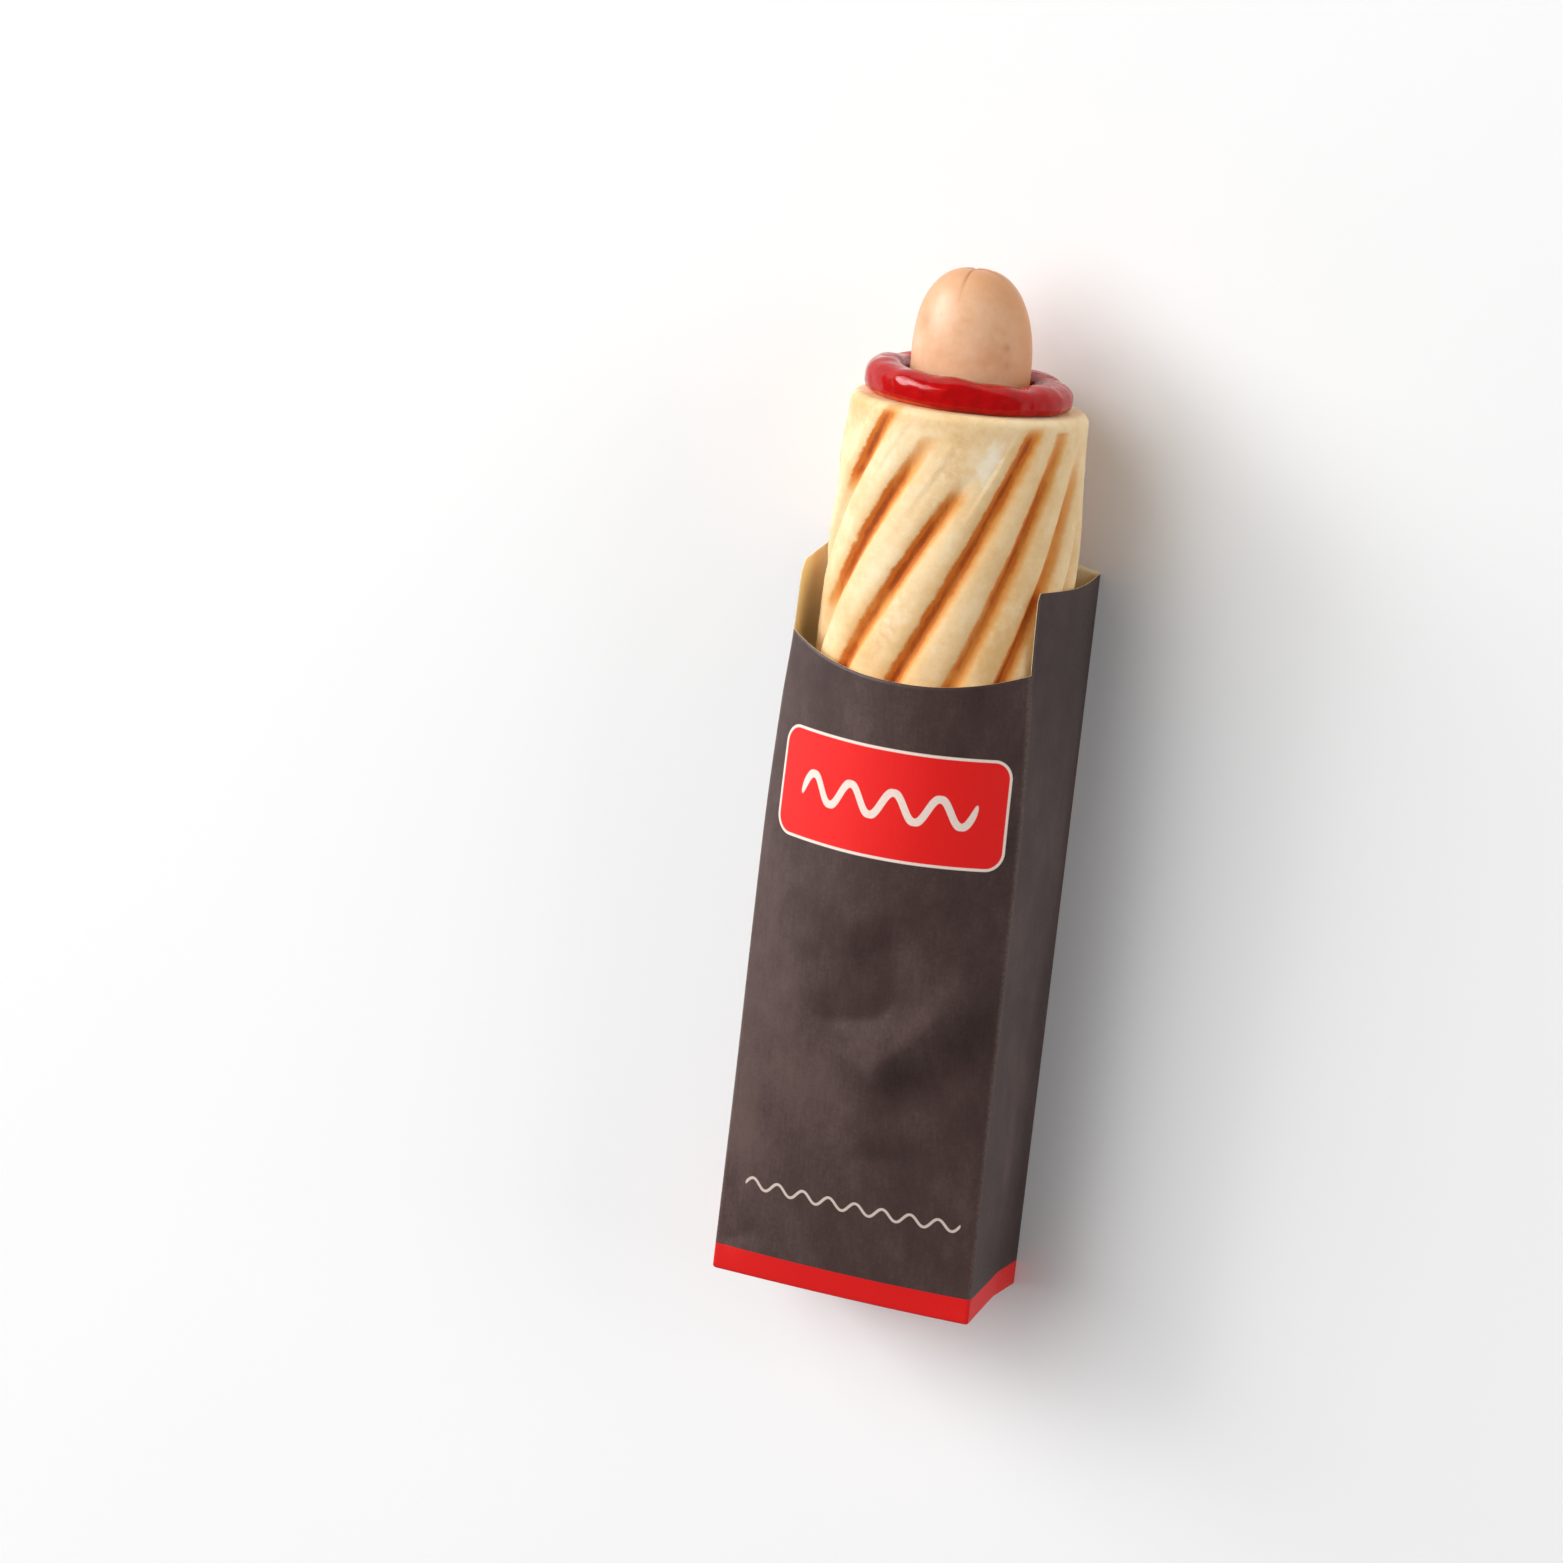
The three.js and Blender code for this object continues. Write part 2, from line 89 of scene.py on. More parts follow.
SIDE_REACH = 157
BACK_ARCH = 3  # how far the back panel's top edge rises in its middle
SCOOP_LEFT, SCOOP_RIGHT = 141.2, 140
SCOOP_DEPTH = 4.5
SCOOP_FULLNESS = 2.3
LEFT_CORNER = 4.5  # radius of the left panel's front top corner
LEFT_TOP_FALL = 1.8  # how much lower the left panel's top is at the front
CROWN_LEAN = 0.12  # of the front panel's bulge towards +X
KINK_REACH = 45  # where the side panels' inward kink runs out
KINK_DEPTH = 1.1
KINK_ROUND = 0.03  # as a share of the panel's height
BULGE_LEAN = 1.3  # of the right panel's bulge towards the front
front_half_width = smooth_through((0, 29), (42, 28.4), (98, 27.9), (126, 26.9), (141, 25.9), (160, 25.4))
crease_height = smooth_through((0, 33.6), (140, 39.3), (160, 40))
crown_height = smooth_through((0, 1), (40, 6.2), (75, 10.8), (110, 12.3), (140, 12.7))
back_right = smooth_through((0, 29), (50, 28.4), (110, 27.7), (160, 27.1))
back_left = smooth_through((0, 29), (95, 28.4), (160, 31.2))
right_bulge = smooth_through((0, 0), (40, 0.3), (100, 1.2), (137, 2.7), (157, 3))
kink_height = smooth_through((0, 12), (45, 4), (80, 9))
SHEET = 0.12  # thickness of the paper
FOLD_RADIUS = 0.6  # how far from a fold's line the paper starts to turn

# Soft dents in the front panel, with the depth as a strength below zero
DENTS = [
    Patch(17, 54, -1.1, 13, 7, 40),
    Patch(2, 78, -0.6, 11, 6, 60),
    Patch(-12, 31, -0.5, 10, 5, -20),
]
# A crease in the front panel: its height, how far its slopes reach left and right of its line, how round it
# is, and the line's (x, reach) corners
Crease = namedtuple("Crease", "height left right round line")
RIGHT_LINE = [(4, 47), (5.2, 53.3), (7.2, 56.6), (12, 60), (15.5, 65), (20, 73), (24.5, 77.5)]
MIDDLE_LINE = [(-14, 63), (-6.6, 62.4), (0, 63.6), (4.7, 65.3), (7.6, 69), (7.1, 77), (4, 88)]
CREASES = [
    Crease(1.8, 12, 5, 0.5, RIGHT_LINE),
    Crease(-1.4, 6, 5, 0.6, MIDDLE_LINE),
    Crease(-0.4, 1.8, 1.8, 0.4, [(-28.6, 6), (-24, 8.4), (-19, 12)]),
    Crease(-0.5, 2.5, 3.5, 1, [(-3, 30), (3, 33), (10, 33.5), (17, 37)]),
    Crease(0.4, 3, 2.5, 0.8, [(13, 89), (18, 84), (23, 82)]),
    Crease(0.4, 4, 3, 1, [(-19, 92), (-12, 84), (-10, 74)]),
]
CREASE_ENDS = 0.22  # the share of its length over which a crease runs out at each end
# Painted light and shade on the front panel: paler patches are light, darker ones (below zero) shade
FRONT_PAINTED_LIGHT_AND_SHADE = [
    Patch(13, 66.5, 0.9, 12, 4, 50),
    Patch(-3, 55, 0.6, 15, 5.5, 25),
    Patch(-20, 42, 0.8, 34, 9, 90),
    Patch(-22, 92, 0.4, 14, 7, 90),
    Patch(0.5, 73, -0.8, 10, 5.5, 62),
    Patch(18.5, 58.5, -0.8, 14, 5.5, 48),
    Patch(9, 36, -0.5, 7, 3.5, 5),
    Patch(25, 105, -0.5, 25, 3.5, 90),
    Patch(-20, 11, -0.6, 7, 2, 30),
    Patch(-4, 42, 1.2, 11, 7, 90),
    Patch(9.5, 51, -0.8, 8, 4, 30),
    Patch(-27, 60, 0.6, 80, 5, 90),
]
# The same on both side panels, with the height over the back panel in place of x
SIDE_PAINTED_LIGHT_AND_SHADE = [
    Patch(4, 24, -0.9, 24, 4, 86),
    Patch(19, 44, 1.1, 22, 5, 82),
    Patch(24, 64, -0.6, 10, 5, 50),
    Patch(12, 92, 0.4, 18, 8, 100),
    Patch(20, 142, -1.7, 18, 22, 90),
    Patch(18, 9, -1.6, 8, 22, 90),
]
PAPER_WAVE = 0.16  # height of the paper's slow unevenness
PAPER_WAVE_SIZE = 9
PAPER_WAVE_START = 12  # the reach at which it is fully there
# Two flaps folded over the closed end, one over the other, with their sides folded in at 45 degrees
FLAP_DEPTH = 21.5
FLAP_INSET = 0.4  # of a flap's fold and sides from the end's edges
FLAP_LIFT = 0.25  # of a flap over what it lies on
FLAP_RAMP = 3  # how much of its depth a flap takes to lift
FLAP_WAVE, FLAP_WAVE_SIZE = 0.5, 12  # its unevenness, with the height as a share of its lift

# ---- Dimensions of the bun ----

BUN_START, BUN_END = 10, 191.8
BUN_BLUNT = 14  # length of the rounded hidden end
RIM_ROUND = 1.8
RIM_TILT = 0.025
RIM_TILT_START = 150
WALL, GAP = 0.45, 0.3  # of the solids, which give the bun's height over the back panel
bun_half_width = smooth_through(
    (10, 14), (24, 18.6), (60, 22), (110, 24.5), (150, 25.6), (175, 25.1), (192, 24.5)
)
bun_half_height = smooth_through((10, 13), (24, 17.6), (60, 21.2), (110, 24), (137, 24.8), (192, 24.3))
bun_centre_x = smooth_through((10, 0.3), (110, 1.8), (157, 2.2), (192, 1.9))
bun_lift = smooth_through((10, 4), (24, 0.2), (137, 0.2), (192, 1.4))

# A grill groove: its angle at GROOVE_REACH, its turn for each millimetre of reach, where it fades out below
# the rim, and (reach, how brown it is) stops
Groove = namedtuple("Groove", "angle turn top brown")
GROOVE_REACH = 165
GROOVES = [
    Groove(-80.3, 1.3, 175, [(140, 0.8), (164, 0.8), (172, 0)]),
    Groove(-57, 1.36, 192, [(160, 0), (171, 0.15), (178, 0.85), (188, 0.9), (191, 0.3)]),
    Groove(-28, 1.3, 187, [(145, 0.1), (153, 0.6), (172, 1), (179, 0.5), (188, 0.15)]),
    Groove(2, 1.26, 181, [(136, 0.7), (150, 0.65), (160, 1), (171, 0.7), (178, 0.05)]),
    Groove(26, 1.02, 191, [(136, 1), (148, 0.8), (165, 0.85), (186, 0.85), (191, 0.1)]),
    Groove(48, 0.86, 190, [(136, 0.55), (150, 0.5), (158, 0.8), (176, 0.7), (190, 0.3)]),
    Groove(70, 0.82, 187, [(136, 1), (148, 0.9), (162, 0.5), (176, 0.4), (186, 0.05)]),
    Groove(93.3, 0.87, 180, [(136, 0.6), (150, 0.2), (175, 0)]),
]
GROOVES_BEHIND = 7
# The (top, brown) that the grooves behind take in turn
BEHIND = [
    (189, [(136, 1), (150, 0.8), (168, 0.95), (182, 0.8), (189, 0.2)]),
    (184, [(136, 0.8), (152, 0.9), (165, 0.6), (176, 0.95), (187, 0.1)]),
    (179, [(136, 0.9), (148, 0.7), (160, 1), (178, 0.6), (188, 0.4)]),
]
GROOVE_DEPTH = 0.85
GROOVE_WIDTH = 1.45  # from its centre line to where its depth has fallen to a third
GROOVE_SQUARENESS = 2.4
# Painted shade: a groove's darkest brown lies towards -X, on its wall that faces away from the light
GROOVE_SHADE = 0.5  # how far the darkest line lies from the centre line, towards -X
GROOVE_FADE = 12
PUFF = 1  # how far the crust swells between two grooves
PUFF_ROUNDNESS = 1.2
PUFF_WIDTH = 0.87  # where the swelling is highest, as a share of half the grooves' mean pitch
PUFF_LEVEL = 0.6  # the share of the swelling that lies inside the bun's even outline
PUFF_ENDS = (-0.5, 4)  # the distances from the rim over which it sets in
# Lumps of the crust: height, size and seed; and the reaches over which they set in and run out
CRUST_LUMPS = [(0.22, 11, 2), (0.1, 4, 3)]
LUMPS_SET_IN, LUMPS_RUN_OUT = (BUN_START, BUN_START + 20), (193, 186)
# Painted shade of the sleeve: the crust is warmer and darker towards it
WARM_PAINTED_SHADE_REACHES = (168, 134)  # over which the crust's colour grows warmer

# Floury patches on the crust, or tanner ones (below zero), with the angle in place of x
# The tanner patches in front, between -90 and 90 degrees, are painted shade
CRUST_PATCHES = [
    Patch(28.5, 183, 1.1, 6, 2.1, 68),
    Patch(6, 174.2, 0.9, 2.4, 1.4, 70),
    Patch(14, 185, -0.5, 6.5, 3.4, 66),
    Patch(-50, 190, -1.1, 9, 3.5, 10),
    Patch(-8, 148, 0.5, 9, 3, 62),
    Patch(47, 145, -0.9, 14, 6, 55),
    Patch(13, 177, -0.4, 5, 4, 55),
    Patch(130, 172, 0.9, 6, 2.2, 60),
    Patch(195, 181, -0.9, 5, 3, 80),
    Patch(232, 165, 0.8, 4, 2, 50),
    Patch(275, 184, -0.8, 6, 2.5, 40),
]

# ---- Dimensions of the sausage ----

SAUSAGE_RADIUS = 12.4
SAUSAGE_TIP = 218.8
SAUSAGE_LENGTH = 175
SAUSAGE_DOME = 18  # length of each rounded end
BLUNTNESS = 0.76
TIP_BEND = 0.65  # how far the tip bends towards -X
TIP_BEND_LENGTH = 22
SAUSAGE_TIP_X, SAUSAGE_LOW_X = 0.75, 3
SAUSAGE_TIP_Z, SAUSAGE_LOW_Z = 27, 21.3
SKIN_LUMP, SKIN_LUMP_SIZE = 0.16, 9
SKIN_LUMP_START = 6  # how far below the tip the lumps are fully there
DIMPLE_DEPTH, DIMPLE_RADIUS = 0.3, 1.6  # at the tip
# A crease where the skin is drawn in at the tip: its angle, how far it runs from the tip, depth, half width
Pleat = namedtuple("Pleat", "angle run depth width")
PLEATS = [
    Pleat(-2, 13, 0.17, 0.32),
    Pleat(80, 8, 0.2, 0.6),
    Pleat(136, 6, 0.2, 0.45),
    Pleat(205, 8, 0.26, 0.4),
    Pleat(282, 5, 0.2, 0.45),
]
# Brown specks: angle, distance below the tip, radius, strength
SPECKS = [(-40, 11, 1.6, 0.35), (53, 17.8, 0.8, 0.4), (-20, 9, 0.5, 0.3), (52, 14.4, 0.8, 0.7)]
SPECKS += [(150, 15, 0.9, 0.7)]

# ---- Dimensions of the ketchup ----

KETCHUP_X, KETCHUP_Z = 1.25, 26.45
KETCHUP_RING = 17.15
KETCHUP_HALF_WIDTH = 4.15
KETCHUP_TOP = 198.3
KETCHUP_TILT = 0.045
KETCHUP_HOLE = 0.8  # how much the bead's inner side leaves free beside the sausage
KETCHUP_SINK = 0.1  # how deep its foot sits in the bun's rim
KETCHUP_FOOT = 0.45  # how far its foot spreads out on the bread
KETCHUP_THIN_AT = -50  # the angle at which its foot is thinnest
# Waves round the ring: height, how many, and where they start in radians
KETCHUP_WAVES = [(0.18, 5, 1), (0.11, 11, 0)]
# Unevenness round the ring: height, size and seed, of the foot's edge and of the whole bead
FOOT_LUMPS = [(0.3, 1.8, 5), (0.35, 5, 6)]
BEAD_LUMPS = [(0.35, 9, 7)]
TOP_LUMPS = [(0.25, 4, 8)]
BEAD_SIDES = 0.85  # below 1 is fuller than round, here and in the two below
BEAD_TOP, BEAD_BOTTOM = 0.9, 0.5

# ---- Shapes that pieces share ----


def bun_centre_z(reach):
    return WALL + GAP + bun_lift(reach) + bun_half_height(reach)


def smoothstep(value, start, end):
    t = np.clip((value - start) / (end - start), 0, 1)
    return t * t * (3 - 2 * t)


def mix(a, b, share):
    return a + (b - a) * share


def angle_from(angles, degrees):
    """How far each angle, in radians, is turned from that direction, between -pi and pi."""
    return (angles - math.radians(degrees) + np.pi) % (2 * np.pi) - np.pi


def wobble(points, size, seed):
    """Smooth unevenness between about -1 and 1 at each point, with lumps of that size."""
    away = Vector((seed * 17.3, seed * 5.9, seed * 11.1))
    flat = np.asarray(points, float).reshape(-1, 3) / size
    values = [noise.noise(Vector(point) + away) for point in flat]
    return np.array(values).reshape(np.shape(points)[:-1])


def lumps(points, kinds):
    """The sum of several kinds of lumps, each with its height, size and seed."""
    return sum(height * wobble(points, size, seed) for height, size, seed in kinds)


def soft_patch(from_x, from_reach, patch):
    """A patch's strength in its middle, falling softly to 0 round it."""
    turn = math.radians(patch.turn)
    along = from_x * math.cos(turn) + from_reach * math.sin(turn)
    across = from_reach * math.cos(turn) - from_x * math.sin(turn)
    return patch.strength * np.exp(-((along / patch.length) ** 2) - (across / patch.width) ** 2)


def add_up(patches, x, reach):
    """What all soft patches together add at each place."""
    return sum(soft_patch(x - patch.x, reach - patch.reach, patch) for patch in patches)


# ---- Making meshes ----


def grid_faces(rows, columns, round_rows=False, round_columns=True):
    """A grid's quads, facing out where rows run from +Z to +X; each round direction also joins its last to
    its first."""
    row, column = np.mgrid[0 : rows - 1 + round_rows, 0 : columns - 1 + round_columns]
    here, after, beside = row * columns, (row + 1) % rows * columns, (column + 1) % columns
    corners = [here + column, here + beside, after + beside, after + column]
    return np.stack(corners, -1).reshape(-1, 4)


def fan_faces(ring, centre, flip):
    """Triangles from each edge of a closed ring of corners to one centre."""
    beside = np.roll(ring, -1)
    centres = np.full(len(ring), centre)
    first, second = (beside, ring) if flip else (ring, beside)
    return np.stack([first, second, centres], -1)


def capped_faces(rows, columns):
    """A grid's quads and a fan over each of its ends, whose two centres follow the grid's corners."""
    count = rows * columns
    low, high = np.arange(columns), np.arange(count - columns, count)
    fans = [*fan_faces(low, count, flip=True), *fan_faces(high, count + 1, flip=False)]
    return [*grid_faces(rows, columns), *fans]


def filled_up(values, count, fill=0.0):
    """A grid's values as one run, filled up to count for the corners that come after the grid's."""
    return np.append(values.ravel(), np.full(count - values.size, fill))


def make_piece(name, node, materials, shift, points, faces, attributes):
    """A smooth mesh piece in the model's frame, riding on the root and standing for a node."""
    mesh = bpy.data.meshes.new(name)
    used = np.unique(np.concatenate(faces))
    renumber = np.zeros(len(points), int)
    renumber[used] = np.arange(len(used))
    mesh.from_pydata(((points[used] + shift) * MM).tolist(), [], [renumber[face].tolist() for face in faces])
    mesh.polygons.foreach_set("use_smooth", [True] * len(faces))
    for key, values in attributes.items():
        kind, field = ("FLOAT_VECTOR", "vector") if values.ndim == 2 else ("FLOAT", "value")
        layer = mesh.attributes.new(key, kind, "POINT")
        layer.data.foreach_set(field, values[used].astype(np.float32).ravel())
    mesh.update()
    piece = bpy.data.objects.new(name, mesh)
    bpy.context.scene.collection.objects.link(piece)
    for material in materials:
        mesh.materials.append(material)
    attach(piece, "root")
    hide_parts(node)
    return piece


# ---- Materials ----


def colour(red, green, blue):
    """A screen colour, 0 to 255, as the linear colour that a shader takes."""
    screen = [part / 255 for part in (red, green, blue)]
    return (*[c / 12.92 if c <= 0.04045 else ((c + 0.055) / 1.055) ** 2.4 for c in screen], 1.0)


class Finish:
    """A material whose nodes are added by short calls that return sockets."""

    def __init__(self, name, **shader):
        self.material = bpy.data.materials.new(name)
        self.material.use_nodes = True
        self.tree = self.material.node_tree
        self.shader = self.tree.nodes["Principled BSDF"]
        for socket, value in shader.items():
            self.set(socket.replace("_", " "), value)

    def feed(self, socket, value):
        if isinstance(value, bpy.types.NodeSocket):
            self.tree.links.new(value, socket)
        else:
            socket.default_value = value

    def set(self, socket, value):
        self.feed(self.shader.inputs[socket], value)

    def node(self, kind, inputs=(), **settings):
        made = self.tree.nodes.new(kind)
        for key, value in settings.items():
            setattr(made, key, value)
        for socket, value in dict(inputs).items():
            self.feed(made.inputs[socket], value)
        return made

    def math(self, operation, a, b=0.0, clamp=False):
        return self.node("ShaderNodeMath", {0: a, 1: b}, operation=operation, use_clamp=clamp).outputs[0]

    def plus(self, a, b):
        return self.math("ADD", a, b)

    def minus(self, a, b):
        return self.math("SUBTRACT", a, b)

    def times(self, a, b, clamp=False):
        return self.math("MULTIPLY", a, b, clamp)

    def apart(self, a, b):
        return self.math("ABSOLUTE", self.minus(a, b))

    def hypot(self, a, b):
        return self.math("SQRT", self.plus(self.math("POWER", a, 2.0), self.math("POWER", b, 2.0)))

    def weigh(self, *parts):
        """The sum of (value, weight) parts."""
        total = None
        for value, weight in parts:
            part = self.times(value, weight)
            total = part if total is None else self.plus(total, part)
        return total

    def swing(self, value, size):
        """A noise's way from its mean, a half, times size."""
        return self.times(self.minus(value, 0.5), size)

    def attribute(self, name, kind="Fac"):
        return self.node("ShaderNodeAttribute", attribute_name=name).outputs[kind]

    def place(self):
        """The place on the piece, in millimetres."""
        where = self.node("ShaderNodeTexCoord").outputs["Object"]
        return self.stretch(where, (1 / MM,) * 3)

    def stretch(self, vector, scale):
        return self.node("ShaderNodeVectorMath", {0: vector, 1: scale}, operation="MULTIPLY").outputs[0]

    def noise(self, vector, per_mm, detail=2.0, roughness=0.5):
        inputs = {"Vector": vector, "Scale": per_mm, "Detail": detail, "Roughness": roughness}
        return self.node("ShaderNodeTexNoise", inputs).outputs["Fac"]

    def between(self, value, low, high, to_low=0.0, to_high=1.0):
        """value's way from low to high, smoothly, as a number from to_low to to_high."""
        inputs = {"Value": value, "From Min": low, "From Max": high, "To Min": to_low, "To Max": to_high}
        return self.node("ShaderNodeMapRange", inputs, interpolation_type="SMOOTHSTEP").outputs[0]

    def blend(self, share, a, b, how="MIX"):
        """a with a share of b, each a socket or a screen colour."""
        made = self.node("ShaderNodeMix", {"Factor": share}, data_type="RGBA", blend_type=how)
        for socket, shade in ((made.inputs[6], a), (made.inputs[7], b)):
            self.feed(socket, colour(*shade) if isinstance(shade, tuple) else shade)
        return made.outputs[2]

    def ramp(self, value, low, high, *shades):
        """A colour ramp through screen colours, evenly from low to high."""
        made = self.node("ShaderNodeValToRGB", {"Fac": value})
        elements = made.color_ramp.elements
        while len(elements) < len(shades):
            elements.new(0.5)
        for element, place, shade in zip(elements, np.linspace(low, high, len(shades)), shades):
            element.position = place
            element.color = colour(*shade)
        return made.outputs["Color"]

    def bump(self, height, distance, below=None):
        """Fine relief of that height in millimetres, added to what is below it."""
        inputs = {"Height": height, "Distance": distance * MM}
        if below is not None:
            inputs["Normal"] = below
        return self.node("ShaderNodeBump", inputs).outputs["Normal"]


# ---- Paper sleeve ----

# Print on the paper, in flat millimetres: across from the front panel's middle line, and reach
BAND_REACH = 5.7
BADGE_CENTRE = (1.1, 110.6)
BADGE_HALF_SIZE = (26.9, 11.75)
BADGE_CORNER = 4.2
BADGE_BORDER = 0.6
# A wavy line: its middle, half its length, its height from the middle line, its period and half its stroke
WavyLine = namedtuple("WavyLine", "across reach half_length wave period stroke")
MARK = WavyLine(*BADGE_CENTRE, 19.4, 2.7, 9.7, 0.8)
RULE = WavyLine(BADGE_CENTRE[0], 21.3, 24, 1.1, 6, 0.3)
RULE_STRENGTH = 0.7
SEAM_ACROSS = -88  # the lapped edge of the sheet, on the back panel
PRINT_EDGE = 0.1  # softness of the print's edges

BACK, LEFT, FRONT, RIGHT = range(4)
PANEL_COLUMNS = (16, 30, 84, 30)
PANEL_WIDTHS = (57, 37, 60, 37)
ROWS_TO_SCOOP = 176
ROWS_ABOVE_SCOOP = 20
END_RINGS = (0.3, 0.6, 0.85)
FLAP_ROWS, FLAP_COLUMNS = 24, 44
FAR = 9.0  # a distance that is far from any fold or groove


def by_panel(panels, back, left, front, right):
    """For each column the value that its panel has."""
    return np.select([panels == BACK, panels == LEFT, panels == FRONT], [back, left, front], right)


def panel_shares(count, width):
    """Places across a panel, from 0 to just under 1, with two close to each of its folds."""
    fold = FOLD_RADIUS / width
    middle = np.linspace(fold, 1 - fold, count - 3)
    return np.concatenate([[0, fold / 2], middle, [1 - fold / 2]])


def sleeve_columns():
    """The panel and the share across it of each column, once round the sleeve."""
    panels = np.repeat(np.arange(4), PANEL_COLUMNS)
    shares = np.concatenate([panel_shares(*sizes) for sizes in zip(PANEL_COLUMNS, PANEL_WIDTHS)])
    return panels, shares


def line_places(x, reach, line):
    """Each place's share of the way along a line, and its distance to it, above zero on the right."""
    corners = np.array(line, float)
    steps = np.diff(corners, axis=0)
    lengths = np.hypot(*steps.T)
    ran = np.concatenate([[0], np.cumsum(lengths)])
    away, along = np.full(x.shape, np.inf), np.zeros(x.shape)
    for corner, step, length, before in zip(corners, steps, lengths, ran):
        from_x, from_reach = x - corner[0], reach - corner[1]
        near = np.clip((from_x * step[0] + from_reach * step[1]) / length**2, 0, 1)
        distance = np.hypot(from_x - near * step[0], from_reach - near * step[1])
        distance = np.copysign(distance, from_x * step[1] - from_reach * step[0])
        closer = np.abs(distance) < np.abs(away)
        away = np.where(closer, distance, away)
        along = np.where(closer, (before + near * length) / ran[-1], along)
    return along, away


def front_relief(x, reach):
    """How far the front panel's dents and creases move it out."""
    relief = add_up(DENTS, x, reach)
    for crease in CREASES:
        along, away = line_places(x, reach, crease.line)
        ends = smoothstep(along, 0, CREASE_ENDS) * smoothstep(along, 1, 1 - CREASE_ENDS)
        width = np.where(away > 0, crease.right, crease.left)
        off = np.hypot(away, crease.round) - crease.round
        relief += crease.height * ends * np.exp(-off / width)
    return relief


def sleeve_section(panels, shares, reach):
    """x and z of the sleeve's outer face at each column's reach."""
    crease = crease_height(reach)
    half = front_half_width(reach)
    back_half = np.where(panels == RIGHT, back_right(reach), back_left(reach))
    along = np.where(panels == FRONT, 2 * shares - 1, 1 - 2 * shares)
    back_x = along * np.where(along > 0, back_right(reach), back_left(reach))
    front_x = along * half
    arch = crown_height(reach) * (1 - along**2) * (1 + CROWN_LEAN * along)
    front_z = crease + arch + front_relief(front_x, reach)
    up = np.where(panels == RIGHT, 1 - shares, shares)
    kink = kink_height(reach) / crease
    near_kink = np.where(up < kink, up / kink, (1 - up) / (1 - kink))
    near_kink = 1 - np.sqrt((1 - near_kink) ** 2 + KINK_ROUND**2)
    tuck = KINK_DEPTH * np.clip(1 - reach / KINK_REACH, 0, 1) * near_kink
    bulge = np.where(panels == RIGHT, right_bulge(reach) * np.sin(np.pi * up**BULGE_LEAN), 0)
    side_x, side_z = mix(back_half, half, up) + bulge - tuck, up * crease
    x = by_panel(panels, back_x, -side_x, front_x, side_x)
    return x, by_panel(panels, 0, side_z, front_z, side_z)


def scoop_reach(panels, shares):
    """Where the rows below the scoop end: the scoop's edge on the front panel, and its ends beside it."""
    dip = SCOOP_DEPTH * (1 - np.abs(2 * shares - 1) ** SCOOP_FULLNESS)
    front = mix(SCOOP_LEFT, SCOOP_RIGHT, shares) - dip
    back = mix(SCOOP_RIGHT, SCOOP_LEFT, shares)
    return by_panel(panels, back, SCOOP_LEFT, front, SCOOP_RIGHT)


def top_reach(panels, shares):
    """The sleeve's top edge on the back and side panels."""
    from_front = np.clip((1 - shares) * crease_height(SIDE_REACH) / LEFT_CORNER, 0, 1)
    corner = LEFT_CORNER * (1 - np.sqrt(1 - (1 - from_front) ** 2))
    left = SIDE_REACH - LEFT_TOP_FALL * shares - corner
    back = SIDE_REACH + BACK_ARCH * (1 - (2 * shares - 1) ** 2)
    front = SIDE_REACH - LEFT_TOP_FALL - LEFT_CORNER
    return by_panel(panels, back, left, front, SIDE_REACH)


def round_fold(points, at):
    """Turns the corner at an index of a run of points into a small bend, from two before to two after."""
    count = len(points)
    before, corner, after = points[(at - 2) % count], points[at].copy(), points[(at + 2) % count]
    for step, share in ((-1, 0.25), (0, 0.5), (1, 0.75)):
        bend = (1 - share) ** 2 * before + 2 * share * (1 - share) * corner + share**2 * after
        points[(at + step) % count] = bend


def sleeve_wall(panels, shares):
    """Points of the sleeve's outer face by row and column, from the closed end to the top edge."""
    fold = FOLD_RADIUS / SCOOP_LEFT
    low = np.concatenate([[0, fold / 2], np.linspace(fold, 1, ROWS_TO_SCOOP - 1)])
    scoop, top = scoop_reach(panels, shares), top_reach(panels, shares)
    above = np.linspace(0, 1, ROWS_ABOVE_SCOOP + 1)[1:]
    reach = np.concatenate([low[:, None] * scoop, scoop + above[:, None] * (top - scoop)])
    x, z = sleeve_section(panels, shares, reach)
    wall = np.stack([x, reach, z], -1)
    wave = PAPER_WAVE * wobble(wall * (1, 0.5, 1), PAPER_WAVE_SIZE, 1)
    wave *= smoothstep(reach, 0, PAPER_WAVE_START) * np.sin(np.pi * shares)
    wall[..., 2] += by_panel(panels, 0, 0, wave, 0)
    wall[..., 0] += by_panel(panels, 0, wave, 0, wave)
    return wall


def print_places(points, panels, shares, first_row):
    """Each point's flat place on the print, and its distance to a fold; the wall starts at first_row."""
    steps = np.linalg.norm(np.diff(points, axis=1, append=points[:, :1]) * (1, 0, 1), axis=-1)
    across = np.cumsum(steps, axis=1) - steps
    front = panels == FRONT
    across -= np.array([np.interp(0.5, shares[front], row[front]) for row in across])[:, None]
    widths = np.array([np.ptp(across[first_row][panels == panel]) for panel in range(4)])
    from_fold = np.minimum(shares, 1 - shares) * widths[panels]
    from_fold = np.where(np.arange(len(points))[:, None] < len(END_RINGS), FAR, from_fold)
    return np.stack([across, points[..., 1], from_fold], -1)


